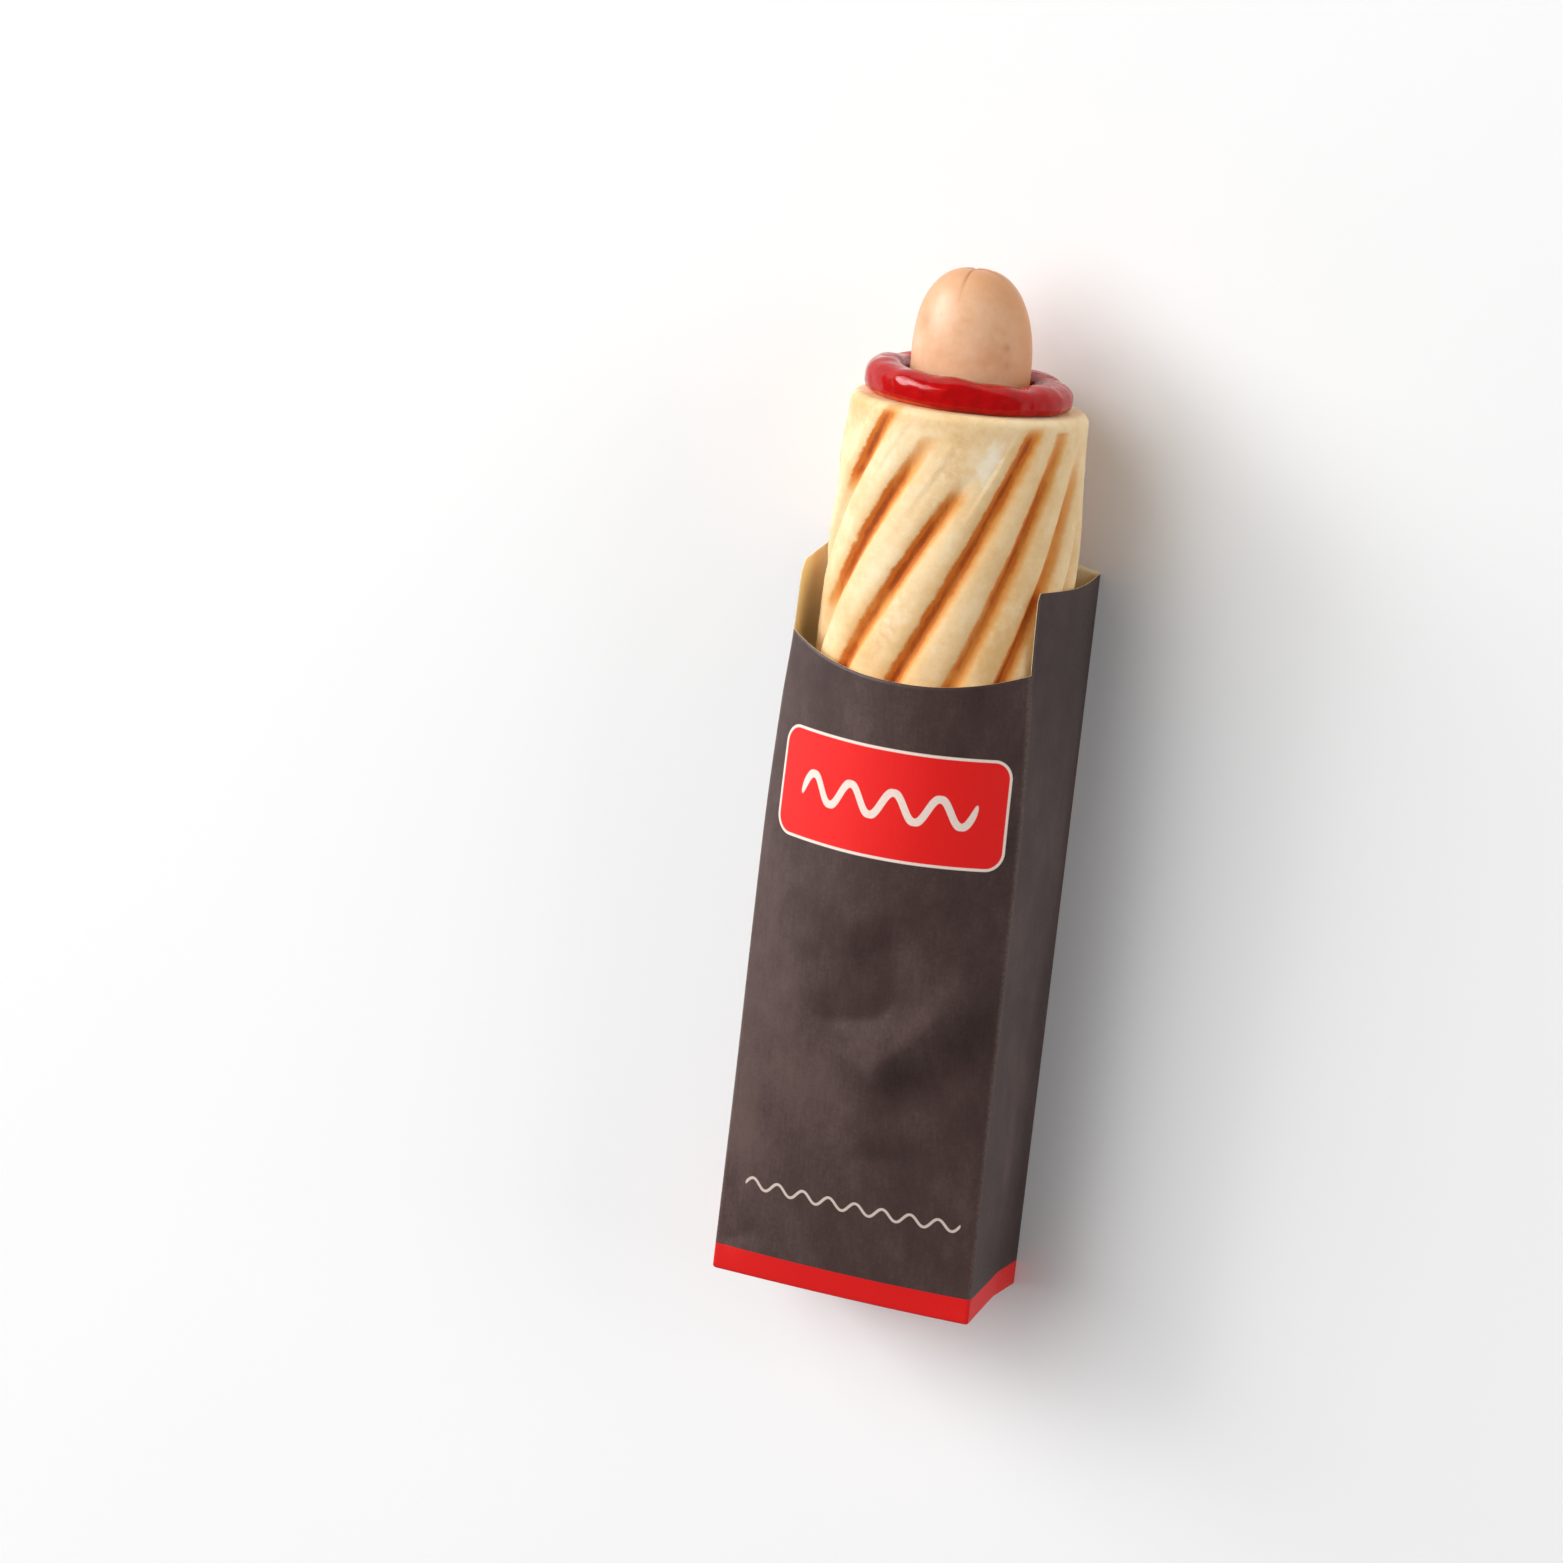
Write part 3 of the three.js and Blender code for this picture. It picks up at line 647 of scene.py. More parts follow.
def sleeve_grid():
    """The sleeve's points by row and column, flat places, painted light and shade, and which quads show."""
    panels, shares = sleeve_columns()
    wall = sleeve_wall(panels, shares)
    centre = np.array([0, 0, crease_height(0) / 2])
    edge = FOLD_RADIUS / centre[2]
    rings = [centre + (wall[0] - centre) * share for share in (*END_RINGS, 1 - edge, 1 - edge / 2)]
    points = np.concatenate([rings, wall])
    flat = print_places(points, panels, shares, len(rings))
    for row in points:
        for at in np.flatnonzero(np.diff(panels, prepend=-1)):
            round_fold(row, at)
    round_fold(points, len(rings))
    x, reach, z = np.moveaxis(points, -1, 0)
    sides = add_up(SIDE_PAINTED_LIGHT_AND_SHADE, z, reach)
    painted_light_and_shade = by_panel(panels, 0, sides, add_up(FRONT_PAINTED_LIGHT_AND_SHADE, x, reach), sides)
    rows = np.arange(len(points) - 1)[:, None] - len(rings)
    shown = (rows < ROWS_TO_SCOOP) | (panels != FRONT)
    return points, flat, painted_light_and_shade, shown


def flap_grid(over, crease, half):
    """One flap's outer face from its fold to its free edge, with its flat places; over lies on the other."""
    depth = np.linspace(FLAP_INSET, FLAP_DEPTH, FLAP_ROWS)[:, None]
    x = np.linspace(-1, 1, FLAP_COLUMNS) * (half - depth)
    z = np.broadcast_to(crease - depth if over else depth, x.shape)
    lift = smoothstep(depth, 0, FLAP_RAMP)
    if over:
        lift = lift + smoothstep(depth, crease - FLAP_DEPTH - FLAP_RAMP, crease - FLAP_DEPTH)
    wave = FLAP_WAVE * wobble(np.stack([x, 0 * x, z], -1), FLAP_WAVE_SIZE, 9 + over)
    lift = FLAP_LIFT * (lift + wave * smoothstep(depth, 2, 3 * FLAP_RAMP))
    points = np.stack([x, -lift, z], -1)
    from_fold = np.minimum((half - depth - np.abs(x)) / math.sqrt(2), depth)
    flat = np.stack([x, np.broadcast_to(-depth, x.shape), from_fold], -1)
    return points.reshape(-1, 3), flat.reshape(-1, 3)


def paper_finish():
    """Uncoated dark paper with its red band, badge, wavy cream lines and painted light and shade."""
    paper = Finish("printed_paper", Specular_IOR_Level=0.36)
    flat = paper.attribute("flat", "Vector")
    across, reach, from_fold = paper.node("ShaderNodeSeparateXYZ", {0: flat}).outputs
    flat = paper.stretch(flat, (1.0, 1.0, 0.0))
    fibres = paper.noise(paper.stretch(flat, (1.0, 0.07, 1.0)), 2.2, detail=3, roughness=0.6)
    specks = paper.noise(flat, 1.3, detail=4, roughness=0.75)
    clouds = paper.noise(paper.stretch(flat, (1.0, 0.6, 1.0)), 0.09, detail=6, roughness=0.68)
    # Painted light and shade: patches of the brown paper are paler as light, darker as shade
    tone = paper.weigh((clouds, 0.6), (fibres, 0.12), (specks, 0.28), (paper.attribute("painted_light_and_shade"), 0.13))
    brown = paper.ramp(tone, 0.3, 0.7, (54, 38, 35), (72, 54, 51), (94, 74, 70))
    folded = paper.times(paper.between(from_fold, 0.9, 0.1), paper.between(specks, 0.35, 0.65, 0.1, 0.4))
    brown = paper.blend(folded, brown, (128, 108, 98))

    def inside(distance, edge):
        return paper.between(distance, edge + PRINT_EDGE, edge - PRINT_EDGE)

    def wavy_line(line):
        """The mask of a wavy line along the print's width."""
        along = paper.minus(across, line.across)
        turn = paper.times(along, math.tau / line.period)
        height = paper.times(paper.math("SINE", turn), line.wave)
        off = paper.apart(paper.minus(reach, line.reach), height)
        slope = paper.times(paper.math("COSINE", turn), line.wave * math.tau / line.period)
        steep = paper.math("SQRT", paper.plus(paper.times(slope, slope), 1.0))
        away = paper.math("DIVIDE", off, steep)
        past = paper.math("MAXIMUM", paper.minus(paper.math("ABSOLUTE", along), line.half_length), 0.0)
        return inside(paper.hypot(away, past), line.stroke)

    def badge_distance():
        """How far a place lies outside the badge's outline; below zero inside."""
        across_off, reach_off = (
            paper.minus(paper.apart(value, centre), half - BADGE_CORNER)
            for value, centre, half in zip((across, reach), BADGE_CENTRE, BADGE_HALF_SIZE)
        )
        corner = paper.hypot(*(paper.math("MAXIMUM", off, 0.0) for off in (across_off, reach_off)))
        within = paper.math("MINIMUM", paper.math("MAXIMUM", across_off, reach_off), 0.0)
        return paper.minus(paper.plus(corner, within), BADGE_CORNER)

    worn = paper.between(specks, 0.42, 0.7, 0.0, 0.22)
    red = paper.blend(worn, (222, 19, 18), (198, 34, 31))
    badge_red = paper.blend(worn, (238, 28, 25), (214, 44, 40))
    cream = paper.blend(worn, (246, 226, 214), (205, 180, 168))
    badge = badge_distance()
    printed = paper.blend(inside(reach, BAND_REACH), brown, red)
    printed = paper.blend(inside(badge, 0), printed, cream)
    printed = paper.blend(inside(badge, -BADGE_BORDER), printed, badge_red)
    printed = paper.blend(wavy_line(MARK), printed, cream)
    printed = paper.blend(paper.times(wavy_line(RULE), RULE_STRENGTH), printed, cream)
    seam = paper.between(paper.apart(across, SEAM_ACROSS), 0.2, 0.05, 0.0, 0.7)
    paper.set("Base Color", paper.blend(seam, printed, (170, 140, 108)))
    paper.set("Roughness", paper.between(specks, 0.3, 0.7, 0.48, 0.58))
    relief = paper.bump(fibres, 0.03)
    relief = paper.bump(paper.between(across, SEAM_ACROSS - 0.2, SEAM_ACROSS), SHEET, below=relief)
    paper.set("Normal", paper.bump(specks, 0.03, below=relief))
    return paper.material


def kraft_finish():
    """The paper's bare brown inner face."""
    kraft = Finish("kraft_paper", Roughness=0.8, Specular_IOR_Level=0.3)
    flat = kraft.attribute("flat", "Vector")
    fibres = kraft.noise(kraft.stretch(flat, (1.0, 0.06, 0.0)), 2.4, detail=3, roughness=0.6)
    clouds = kraft.noise(kraft.stretch(flat, (1.0, 1.0, 0.0)), 0.12, detail=4)
    tone = kraft.weigh((clouds, 0.55), (fibres, 0.45))
    kraft.set("Base Color", kraft.ramp(tone, 0.3, 0.7, (252, 232, 180), (255, 246, 208)))
    kraft.set("Normal", kraft.bump(fibres, 0.03))
    return kraft.material


def make_sleeve(shift):
    points, flat, painted_light_and_shade, shown = sleeve_grid()
    rows, columns = points.shape[:2]
    crease, half = float(crease_height(0)), float(front_half_width(0))
    cap = fan_faces(np.arange(columns), rows * columns, flip=True)
    faces = [*grid_faces(rows, columns)[shown.ravel()], *cap]
    corners = [points.reshape(-1, 3), [[0, 0, crease / 2]]]
    places = [flat.reshape(-1, 3), [[0, 0, FAR]]]
    for over in (False, True):
        flap, flap_flat = flap_grid(over, crease, half)
        flap_faces = grid_faces(FLAP_ROWS, FLAP_COLUMNS, round_columns=False) + sum(map(len, corners))
        faces += [*(flap_faces[:, ::-1] if over else flap_faces)]
        corners.append(flap)
        places.append(flap_flat)
    corners, places = np.concatenate(corners), np.concatenate(places)
    materials = [paper_finish(), kraft_finish()]
    attributes = {"flat": places, "painted_light_and_shade": filled_up(painted_light_and_shade, len(corners))}
    piece = make_piece("sleeve_paper", "sleeve", materials, shift, corners, faces, attributes)
    sheet = piece.modifiers.new("sheet", "SOLIDIFY")
    sheet.thickness = SHEET * MM
    sheet.offset = -1
    sheet.use_even_offset = True
    sheet.material_offset = 1
    sheet.material_offset_rim = 1


# ---- Bun ----

GROOVE_COLUMNS = 22  # for each groove's pitch
BUN_ROW_STEP = 0.7  # where the bun shows
BUN_HIDDEN_STEP = 3.5
BUN_SHOWN_FROM = 128
BLUNT_TURNS = (4, 90, 9)  # the rounded end's first and last ring in degrees from its axis, and their count
RIM_STEPS = 7
RIM_INNER_RINGS = 6  # from the rim's rounding to the bore's mouth
BORE_RINGS = 9
BORE_START = 2  # how far below the rim they begin
BORE_END_TURNS = (65, 45, 25, 8)  # the rings of the bore's round end, in degrees from its axis


def sausage_axis(reach):
    """x and z of the sausage's axis."""
    share = (SAUSAGE_TIP - reach) / SAUSAGE_LENGTH
    return mix(SAUSAGE_TIP_X, SAUSAGE_LOW_X, share), mix(SAUSAGE_TIP_Z, SAUSAGE_LOW_Z, share)


def all_grooves():
    """The grooves that show in their own places, then the rest, spread evenly round the back."""
    first, last = GROOVES[0], GROOVES[-1]
    behind = []
    for k in range(GROOVES_BEHIND):
        share = (k + 1) / (GROOVES_BEHIND + 1)
        angle, turn = mix(last.angle, first.angle + 360, share), mix(last.turn, first.turn, share)
        behind.append(Groove(angle, turn, *BEHIND[k % len(BEHIND)]))
    return GROOVES + behind


def rim_lean(reach, z):
    """How far the bun's end moves along the reach, because its rim leans towards the front."""
    return -RIM_TILT * smoothstep(reach, RIM_TILT_START, BUN_END) * (z - bun_centre_z(BUN_END))


def crust_patches(angles, reach):
    """How floury the crust is at each angle of a ring; below zero, how much tanner, in front as painted
    shade.
    """
    total = np.zeros_like(angles)
    for patch in CRUST_PATCHES:
        from_x = angle_from(angles, patch.x) * bun_half_width(reach)
        total += soft_patch(from_x, reach - patch.reach, patch)
    return total


def bun_ring(reach, inset):
    """One ring of the crust as points, its angles, and each point's distances to its groove's middle and
    darkest line (placed as painted shade), its browning, and its flour and painted shade."""
    start = min(max((reach - BUN_START) / BUN_BLUNT, 0), 1)
    blunt = math.sqrt(1 - (1 - start) ** 2)
    width, height = bun_half_width(reach) * blunt, bun_half_height(reach) * blunt
    grooves = all_grooves()
    angle, turn, top = np.array([groove[:3] for groove in grooves]).T[..., None]
    begin = angle + turn * (reach - GROOVE_REACH)
    end = np.append(begin[1:], begin[:1] + 360, axis=0)
    pitch = np.radians(end - begin) * height * np.cos(np.arctan(np.radians(turn) * height))
    share = np.arange(GROOVE_COLUMNS) / GROOVE_COLUMNS
    own = share < 0.5  # these columns belong to the groove, the others to the one that follows
    angles = np.radians(mix(begin, end, share)).ravel()
    side = (np.where(own, share, share - 1) * pitch).ravel()
    away, dark = np.abs(side), np.abs(side + GROOVE_SHADE)
    browning = np.array([[smooth_through(*groove.brown)(reach)] for groove in grooves])
    fading = np.clip((top - reach) / GROOVE_FADE, 0, 1)
    brown, fade = (np.where(own, here, np.roll(here, -1, axis=0)).ravel() for here in (browning, fading))
    half_pitch = math.pi * height / len(grooves) * PUFF_WIDTH
    ends = blunt * smoothstep(BUN_END - reach, *PUFF_ENDS)
    dip = GROOVE_DEPTH * np.exp(-((away / GROOVE_WIDTH) ** GROOVE_SQUARENESS)) * fade * blunt
    between = np.sin(np.pi / 2 * np.clip(away / half_pitch, 0, 1)) ** PUFF_ROUNDNESS
    out = PUFF * (between - PUFF_LEVEL) * ends * fade - dip - inset
    x = bun_centre_x(reach) + (width + out) * np.sin(angles)
    z = bun_centre_z(reach) + (height + out) * np.cos(angles)
    points = np.stack([x, reach + rim_lean(reach, z), z], -1)
    return points, angles, (away, dark, brown * (fade > 0), crust_patches(angles, reach))


def bun_rows():
    """(reach, inset) of the crust's rings, from the hidden end to the inner edge of the rim's rounding."""
    full = BUN_START + BUN_BLUNT
    rows = [(full - BUN_BLUNT * math.cos(turn), 0) for turn in np.radians(np.linspace(*BLUNT_TURNS))]
    hidden = round((BUN_SHOWN_FROM - full) / BUN_HIDDEN_STEP)
    rows += [(reach, 0) for reach in np.linspace(full, BUN_SHOWN_FROM, hidden + 1)[1:]]
    last = BUN_END - RIM_ROUND
    shown = round((last - BUN_SHOWN_FROM) / BUN_ROW_STEP)
    rows += [(reach, 0) for reach in np.linspace(BUN_SHOWN_FROM, last, shown + 1)[1:]]
    for turn in np.radians(np.linspace(0, 90, RIM_STEPS + 1)[1:]):
        rows.append((last + RIM_ROUND * math.sin(turn), RIM_ROUND * (1 - math.cos(turn))))
    return rows


def bun_grid():
    """Rings of the crust, over the rim and down the bore to its blind end; and the crust's marks."""
    made = [bun_ring(reach, inset) for reach, inset in bun_rows()]
    points = np.array([ring for ring, _, _ in made])
    marks = np.array([ring for _, _, ring in made]).transpose(1, 0, 2)
    angles = made[-1][1]
    reach = points[..., 1]
    centres = np.stack([bun_centre_x(reach), reach, bun_centre_z(reach)], -1)
    outward = (points - centres) / np.linalg.norm(points - centres, axis=-1, keepdims=True)
    crust = smoothstep(reach, *LUMPS_SET_IN) * smoothstep(reach, *LUMPS_RUN_OUT)
    points = points + outward * (lumps(points, CRUST_LUMPS) * crust)[..., None]

    def bore_ring(reach, radius):
        x, z = sausage_axis(reach)
        ring_x, ring_z = x + radius * np.sin(angles), z + radius * np.cos(angles)
        return np.stack([ring_x, reach + rim_lean(reach, ring_z), ring_z], -1)

    radius = SAUSAGE_RADIUS + GAP
    mouth = bore_ring(BUN_END, radius)
    inner = [mix(points[-1], mouth, share) for share in np.linspace(0, 1, RIM_INNER_RINGS + 1)[1:]]
    low = SAUSAGE_TIP - SAUSAGE_LENGTH
    straight = np.linspace(BUN_END - BORE_START, low + SAUSAGE_DOME, BORE_RINGS)
    bore = [bore_ring(reach, radius) for reach in straight]
    for turn in np.radians(BORE_END_TURNS):
        reach = low + SAUSAGE_DOME - (SAUSAGE_DOME + GAP) * math.cos(turn)
        bore.append(bore_ring(reach, radius * math.sin(turn) ** BLUNTNESS))
    return np.concatenate([points, inner, bore]), marks


def bread_finish():
    """Pale baked crust with browned grill grooves, and painted shade in places."""
    bread = Finish("baked_crust", Specular_IOR_Level=0.3, Subsurface_Weight=0.22, Subsurface_Scale=1.0)
    bread.set("Subsurface Radius", (0.004, 0.003, 0.0018))
    place = bread.place()
    away, dark, brown = (bread.attribute("groove_" + key) for key in ("away", "dark", "brown"))
    warm_painted_shade, flour_and_painted_shade = bread.attribute("warm_painted_shade"), bread.attribute("flour_and_painted_shade")
    blotches = bread.noise(place, 0.09, detail=4, roughness=0.55)
    mottle = bread.noise(place, 0.55, detail=4, roughness=0.6)
    grain = bread.noise(place, 2.4, detail=4, roughness=0.7)
    streaks = bread.noise(bread.stretch(place, (1.0, 0.35, 1.0)), 0.45, detail=3)
    tone = bread.weigh((blotches, 0.6), (mottle, 0.25), (grain, 0.15))
    crust = bread.ramp(tone, 0.34, 0.66, (231, 194, 140), (243, 213, 166), (249, 230, 194))
    # Painted shade: warmer and darker towards the sleeve, where it shades the bun
    crust = bread.blend(bread.times(warm_painted_shade, 0.2), crust, (240, 196, 130), "MULTIPLY")
    flour_and_painted_shade = bread.plus(flour_and_painted_shade, bread.swing(mottle, 1.2))
    # Tanner where the patches are below zero: in front this is painted shade
    crust = bread.blend(bread.between(flour_and_painted_shade, -0.1, -1.1, 0.0, 0.8), crust, (226, 182, 122))
    rough = bread.plus(bread.swing(mottle, 1.0), bread.swing(grain, 0.5))
    away, dark = bread.plus(away, rough), bread.plus(dark, rough)
    # Painted shade on the ridges' slopes beside each groove, as a tan halo that also stands for browning
    tan_halo_and_painted_shade = bread.times(bread.between(away, 4.6, 1.2, 0.0, 0.55), bread.between(brown, 0.0, 0.7), clamp=True)
    crust = bread.blend(tan_halo_and_painted_shade, crust, (232, 184, 118))
    edge = bread.times(bread.between(away, 2.3, 1.0), bread.between(brown, 0.0, 0.55), clamp=True)
    crust = bread.blend(edge, crust, (232, 162, 80))
    marked = bread.times(brown, bread.between(streaks, 0.3, 0.7, 0.7, 1.15), clamp=True)
    # The grooves' brown core, and their darkest line, which is painted shade on the wall turned from the
    # light
    core = bread.times(bread.between(dark, 2.0, 0.8), marked)
    crust = bread.blend(bread.between(core, 0.1, 0.75), crust, (214, 118, 42))
    depth = bread.times(bread.between(dark, 1.0, 0.15), marked)
    crust = bread.blend(bread.between(depth, 0.2, 1.0, 0.0, 0.7), crust, (156, 64, 24))
    crust = bread.blend(bread.between(flour_and_painted_shade, 0.25, 1.05, 0.0, 0.8), crust, (254, 242, 220))
    bread.set("Base Color", crust)
    bread.set("Roughness", bread.between(mottle, 0.3, 0.7, 0.55, 0.72))
    bread.set("Normal", bread.bump(grain, 0.035, below=bread.bump(mottle, 0.05)))
    return bread.material


def make_bun(shift):
    rings, (away, dark, brown, flour_and_painted_shade) = bun_grid()
    low = SAUSAGE_TIP - SAUSAGE_LENGTH
    bore_x, bore_z = sausage_axis(low)
    tips = [[bun_centre_x(BUN_START), BUN_START, bun_centre_z(BUN_START)], [bore_x, low - GAP, bore_z]]
    corners = np.concatenate([rings.reshape(-1, 3), tips])
    count = len(corners)
    attributes = {
        "groove_away": filled_up(away, count, FAR),
        "groove_dark": filled_up(dark, count, FAR),
        "groove_brown": filled_up(brown, count),
        "flour_and_painted_shade": filled_up(flour_and_painted_shade, count),
        "warm_painted_shade": smoothstep(corners[:, 1], *WARM_PAINTED_SHADE_REACHES),
    }
    faces = capped_faces(*rings.shape[:2])
    make_piece("bun_crust", "bun", [bread_finish()], shift, corners, faces, attributes)


# ---- Sausage ----

SAUSAGE_COLUMNS = 168
SAUSAGE_SHOWN = 30  # how much of its length is finely divided
LOW_END_ROWS, HIDDEN_ROWS, SHOWN_ROWS, TIP_ROWS = 14, 20, 40, 60


def sausage_profile():
    """(radius, distance from the hidden end) down to the tip, finest near the tip."""

    def dome(turns, start, way):
        return [
            (SAUSAGE_RADIUS * math.sin(turn) ** BLUNTNESS, start + way * SAUSAGE_DOME * math.cos(turn))
            for turn in turns
        ]

    low_end = dome(np.linspace(0.02, 1, LOW_END_ROWS) * np.pi / 2, SAUSAGE_DOME, -1)
    tip_start = SAUSAGE_LENGTH - SAUSAGE_DOME
    shown_start = tip_start - SAUSAGE_SHOWN
    straight = [*np.linspace(SAUSAGE_DOME, shown_start, HIDDEN_ROWS)[1:]]
    straight += [*np.linspace(shown_start, tip_start, SHOWN_ROWS)[1:]]
    tip = dome(np.pi / 2 * (1 - np.linspace(0, 1, TIP_ROWS)[1:-1] ** 0.9), tip_start, 1)
    return np.array([*low_end, *[(SAUSAGE_RADIUS, along) for along in straight], *tip])


def skin_finish():
    """Smooth cooked sausage skin, with painted shade down its flanks and in the pleats at its tip."""
    skin = Finish("sausage_skin", Specular_IOR_Level=0.34, Subsurface_Weight=0.28, Subsurface_Scale=1.0)
    skin.set("Subsurface Radius", (0.005, 0.003, 0.002))
    place = skin.place()
    speck, crease, painted_flank_shade = (skin.attribute(key) for key in ("speck", "crease", "painted_flank_shade"))
    clouds = skin.noise(place, 0.1, detail=3)
    mottle = skin.noise(place, 0.5, detail=4, roughness=0.6)
    grain = skin.noise(place, 3.0, detail=3)
    tone = skin.weigh((clouds, 0.65), (mottle, 0.35))
    shade = skin.ramp(tone, 0.34, 0.66, (219, 167, 125), (227, 181, 143), (234, 194, 160))
    # Painted shade: the skin is darker and browner where it faces away from +Z, down its flanks
    shade = skin.blend(skin.between(painted_flank_shade, 0.2, 1.0, 0.0, 0.85), shade, (212, 146, 92))
    # Painted shade in the pleats at the tip
    shade = skin.blend(skin.times(crease, 0.75), shade, (190, 116, 58))
    speckled = skin.times(speck, skin.between(mottle, 0.3, 0.6, 0.5, 1.0))
    skin.set("Base Color", skin.blend(speckled, shade, (186, 112, 62)))
    skin.set("Roughness", skin.between(mottle, 0.3, 0.7, 0.34, 0.46))
    skin.set("Normal", skin.bump(grain, 0.015, below=skin.bump(mottle, 0.05)))
    return skin.material


def drawn_in(turned, radius, below_tip):
    """How strongly each place lies in a pleat at the tip, and how deep it is there."""
    strength, depth = np.zeros_like(radius), np.zeros_like(radius)
    for pleat in PLEATS:
        off = angle_from(turned, pleat.angle)
        shape = np.exp(-((radius * np.sin(off) / pleat.width) ** 2)) * (np.cos(off) > 0)
        shape *= smoothstep(np.hypot(radius, below_tip), pleat.run, pleat.run * 0.35)
        strength = np.maximum(strength, shape)
        depth += pleat.depth * shape
    return strength, depth


def brown_specks(turned, radius, below_tip):
    """How strongly each place lies in a brown speck."""
    speck = np.zeros_like(radius)
    for angle, below, size, strength in SPECKS:
        away = np.hypot(radius * angle_from(turned, angle), below_tip - below)
        speck = np.maximum(speck, strength * np.exp(-((away / size) ** 2)))
    return speck


def make_sausage(shift):
    angles = np.linspace(0, 2 * np.pi, SAUSAGE_COLUMNS, endpoint=False)
    profile = sausage_profile()
    radius, along, turned = np.broadcast_arrays(profile[:, :1], profile[:, 1:], angles)
    below_tip = SAUSAGE_LENGTH - along
    crease, depth = drawn_in(turned, radius, below_tip)
    local = np.stack([radius * np.sin(turned), along, radius * np.cos(turned)], -1)
    dome_centre = np.array([0, SAUSAGE_LENGTH - SAUSAGE_DOME, 0])
    in_dome = along > dome_centre[1]
    from_axis = np.where(in_dome[..., None], local - dome_centre, local * (1, 0, 1))
    outward = from_axis / np.maximum(np.linalg.norm(from_axis, axis=-1, keepdims=True), 1e-6)
    lump = SKIN_LUMP * wobble(local, SKIN_LUMP_SIZE, 4) * smoothstep(below_tip, 0, SKIN_LUMP_START)
    local = local + outward * (lump - depth)[..., None]
    local[..., 0] -= TIP_BEND * smoothstep(below_tip, TIP_BEND_LENGTH, 0)
    local[..., 1] -= DIMPLE_DEPTH * np.exp(-((radius / DIMPLE_RADIUS) ** 2)) * in_dome
    sideways, climb = SAUSAGE_TIP_X - SAUSAGE_LOW_X, SAUSAGE_TIP_Z - SAUSAGE_LOW_Z
    run = math.sqrt(SAUSAGE_LENGTH**2 - sideways**2 - climb**2)
    turn = np.array(Vector((0, 1, 0)).rotation_difference(Vector((sideways, run, climb))).to_matrix())
    low = np.array([SAUSAGE_LOW_X, SAUSAGE_TIP - run, SAUSAGE_LOW_Z])
    ends = [[0, 0, 0], [-TIP_BEND, SAUSAGE_LENGTH - DIMPLE_DEPTH, 0]]
    corners = np.concatenate([local.reshape(-1, 3), ends]) @ turn.T + low
    count = len(corners)
    attributes = {
        "speck": filled_up(brown_specks(turned, radius, below_tip), count),
        "crease": filled_up(crease, count),
        # painted shade down the flanks, by how far the skin faces away from +Z
        "painted_flank_shade": filled_up(1 - np.clip(outward[..., 2], 0, 1), count, 1),
    }
    faces = capped_faces(*radius.shape)
    make_piece("sausage_skin", "sausage", [skin_finish()], shift, corners, faces, attributes)


# ---- Ketchup ----

KETCHUP_COLUMNS = 240
KETCHUP_SECTION = 48


def sauce_finish():
    """Wet tomato ketchup, thin and orange where it ends on the bread, with painted shade on its inner side.
    """
    sauce = Finish("ketchup_sauce", Specular_IOR_Level=0.28)
    place = sauce.place()
    foot, inner = sauce.attribute("foot"), sauce.attribute("inner")
    pulp = sauce.noise(place, 0.55)
    fine = sauce.noise(place, 1.8, detail=3)
    shade = sauce.ramp(pulp, 0.35, 0.65, (168, 0, 1), (184, 1, 3))
    # Painted shade: darker red on the bead's inner side, beside the sausage
    shade = sauce.blend(sauce.between(inner, 0.1, 0.9, 0.0, 0.6), shade, (96, 2, 6))
    thin = sauce.between(sauce.plus(foot, sauce.times(fine, 0.35)), 0.8, 1.15)
    sauce.set("Base Color", sauce.blend(sauce.times(thin, 0.8), shade, (220, 76, 30)))
    sauce.set("Roughness", sauce.between(fine, 0.3, 0.7, 0.1, 0.18))
    swells = sauce.noise(place, 0.32, detail=0)
    sauce.set("Normal", sauce.bump(pulp, 0.04, below=sauce.bump(swells, 0.4)))
    return sauce.material


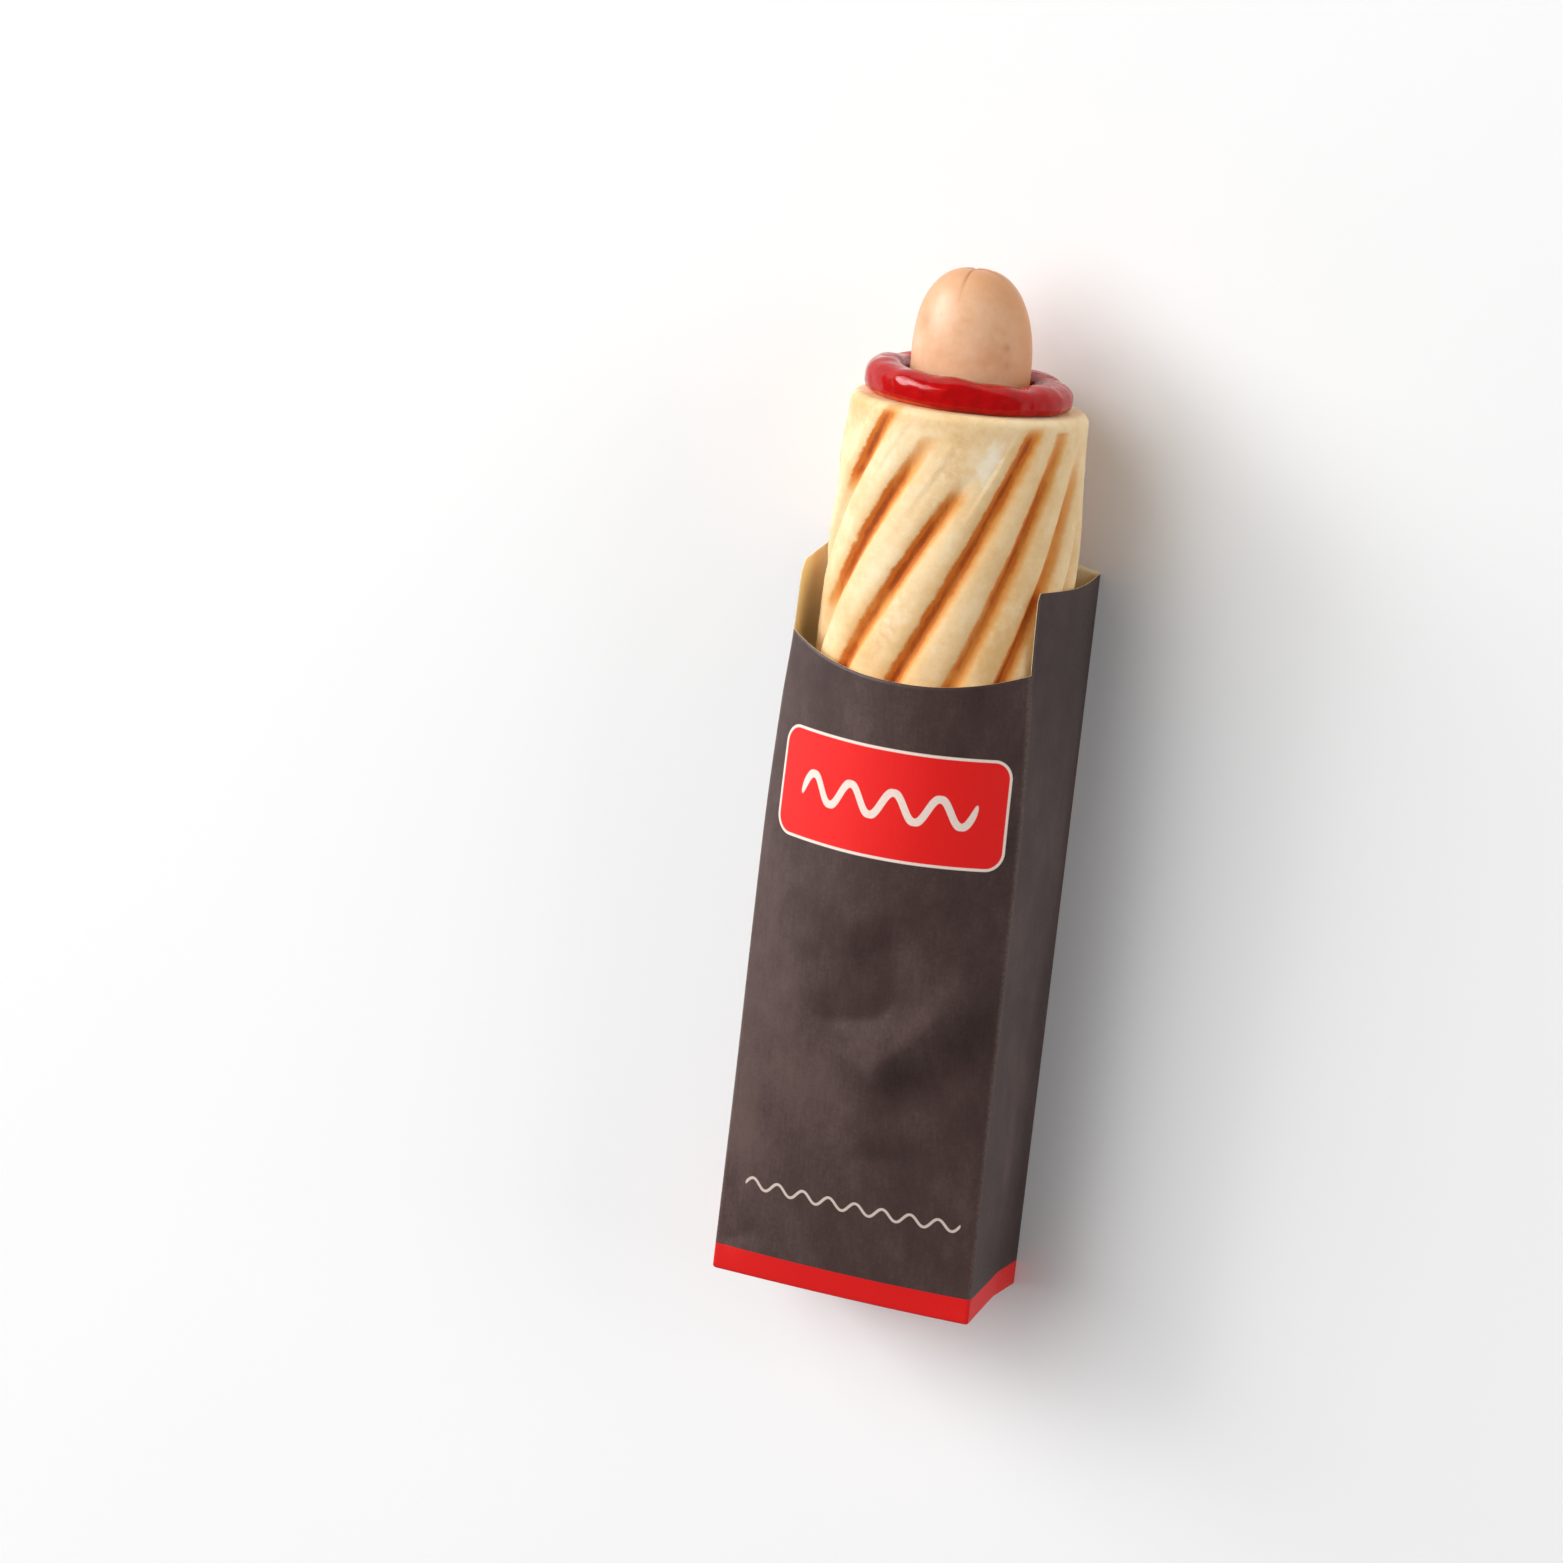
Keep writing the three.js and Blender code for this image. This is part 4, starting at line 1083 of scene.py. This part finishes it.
def make_ketchup(shift):
    around = np.linspace(0, 2 * np.pi, KETCHUP_COLUMNS, endpoint=False)[:, None]
    turn = np.linspace(0, 2 * np.pi, KETCHUP_SECTION, endpoint=False)
    circle = np.stack([np.sin(around), np.cos(around), 0 * around], -1) * KETCHUP_RING
    wave = sum(height * np.sin(count * around + start) for height, count, start in KETCHUP_WAVES)
    ragged, fat = lumps(circle, FOOT_LUMPS), lumps(circle, BEAD_LUMPS)
    out, rise = np.cos(turn), np.sin(turn)
    width = KETCHUP_HALF_WIDTH + np.where(out > 0, wave + fat, 0.4 * wave - KETCHUP_HOLE)
    radius = KETCHUP_RING + width * np.sign(out) * np.abs(out) ** BEAD_SIDES
    radius = radius + np.clip(-rise, 0, 1) ** 0.7 * ragged * (out > 0)
    radius = radius + KETCHUP_FOOT * smoothstep(-rise, 0.55, 1) * smoothstep(out, -0.2, 0.6)
    x = KETCHUP_X + radius * np.sin(around)
    z = KETCHUP_Z + radius * np.cos(around)
    foot = BUN_END - KETCHUP_SINK
    half = (KETCHUP_TOP - foot) / 2
    level = half * (1 + np.sign(rise) * np.abs(rise) ** np.where(rise < 0, BEAD_BOTTOM, BEAD_TOP))
    lift = (wave * np.maximum(rise, 0) - KETCHUP_TILT * x) * (level / half / 2)
    points = np.stack([x, foot + level + lift + rim_lean(BUN_END, z), z], -1)
    points[..., 1] += lumps(points, TOP_LUMPS) * np.clip(rise, 0, 1)
    thin = smoothstep(np.cos(around - math.radians(KETCHUP_THIN_AT)), 0.45, 0.9)
    attributes = {
        "foot": (np.clip(-rise, 0, 1) * (out > -0.2) * (0.85 + 0.75 * thin)).ravel(),
        # How far each point faces in towards the sausage, for the painted shade there
        "inner": (np.clip(-out, 0, 1) * np.ones_like(around)).ravel(),
    }
    corners = points.reshape(-1, 3)
    faces = grid_faces(KETCHUP_COLUMNS, KETCHUP_SECTION, round_rows=True)[:, ::-1]
    make_piece("ketchup_bead", "ketchup", [sauce_finish()], shift, corners, faces, attributes)


# ---- Camera, floor and light ----

# The camera's place, the point it looks at, which way is up in the picture, and its lens
CAMERA_PLACE = (255.23, 287.99, 861.54)
CAMERA_TARGET = (-28.66, 106.18, 27.06)
CAMERA_UP = (-0.17728, 0.97242, -0.15155)
CAMERA_LENS = 98.29
CAMERA_SENSOR = 36

# From here on in metres. A light shines from its direction at LIGHT_DISTANCE; only a mirrored one shows in
# glossy surfaces, and one that doesn't light anything shows only there.
Light = namedtuple("Light", "name direction size power mirrored lights")
LIGHT_DISTANCE = 2.6
LIGHTS = [
    Light("key", (-0.82, 0.38, 0.4), (1, 1.4), 38, mirrored=True, lights=True),
    Light("fill", (-0.5, 0.3, 0.8), (2.4, 2.2), 53, mirrored=False, lights=True),
    Light("side", (0.9, 0.3, 0.35), (1.5, 1.5), 19, mirrored=False, lights=True),
    Light("sheen", (-0.7, 0.45, 0.5), (1.4, 2.2), 55, mirrored=True, lights=False),
]
WORLD_STRENGTH = 0.21
FLOOR_SIZE = 8
VIEW_END = 20  # how far the camera sees


def turned_to(direction, up=(0, 0, 1)):
    """A rotation whose -Z looks along direction, with up as near to its Y as it can be."""
    back = -Vector(direction).normalized()
    right = Vector(up).cross(back).normalized()
    return Matrix([right, back.cross(right), back]).transposed().to_4x4()


def add_object(name, data):
    made = bpy.data.objects.new(name, data)
    bpy.context.scene.collection.objects.link(made)
    return made


def make_camera(shift):
    place, target = (Vector(spot) + Vector(shift) for spot in (CAMERA_PLACE, CAMERA_TARGET))
    camera = add_object("camera", bpy.data.cameras.new("camera"))
    camera.data.lens = CAMERA_LENS
    camera.data.sensor_width = CAMERA_SENSOR
    camera.data.clip_end = VIEW_END
    camera.matrix_world = Matrix.Translation(place * MM) @ turned_to(target - place, CAMERA_UP)
    bpy.context.scene.camera = camera


def make_light(light):
    lamp = bpy.data.lights.new(light.name, "AREA")
    lamp.shape = "RECTANGLE"
    lamp.size, lamp.size_y = light.size
    lamp.energy = light.power
    made = add_object(light.name, lamp)
    from_here = Vector(light.direction).normalized()
    made.matrix_world = Matrix.Translation(from_here * LIGHT_DISTANCE) @ turned_to(-from_here)
    made.visible_glossy = light.mirrored
    made.visible_diffuse = light.lights


def make_studio():
    mesh = bpy.data.meshes.new("floor")
    half = FLOOR_SIZE / 2
    corners = [(-half, -half, 0), (half, -half, 0), (half, half, 0), (-half, half, 0)]
    mesh.from_pydata(corners, [], [(0, 1, 2, 3)])
    floor = add_object("floor", mesh)
    pale = Finish("floor_paint", Roughness=0.9)
    cloud = pale.noise(pale.node("ShaderNodeTexCoord").outputs["Object"], 3.0)
    pale.set("Base Color", pale.ramp(cloud, 0.3, 0.7, (246,) * 3, (250,) * 3))
    mesh.materials.append(pale.material)
    world = bpy.data.worlds.new("world")
    world.use_nodes = True
    background = world.node_tree.nodes["Background"].inputs
    background["Color"].default_value = (1, 1, 1, 1)
    background["Strength"].default_value = WORLD_STRENGTH
    bpy.context.scene.world = world
    bpy.context.scene.view_settings.view_transform = "Standard"
    for light in LIGHTS:
        make_light(light)


FIT_ROWS = 80  # places along the sleeve at which its width is looked at


def frame_shift():
    """What takes the sleeve's own axes to the model's frame: the sleeve's box is the same in both."""
    x, _ = sleeve_section(*sleeve_columns(), np.linspace(0, SIDE_REACH, FIT_ROWS)[:, None])
    low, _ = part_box("sleeve")
    return np.array([low.x / MM - x.min(), low.y / MM, low.z / MM])


def main():
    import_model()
    shift = frame_shift()
    make_camera(shift)
    make_studio()
    make_sleeve(shift)
    make_bun(shift)
    make_sausage(shift)
    make_ketchup(shift)
    bpy.context.view_layer.update()


main()
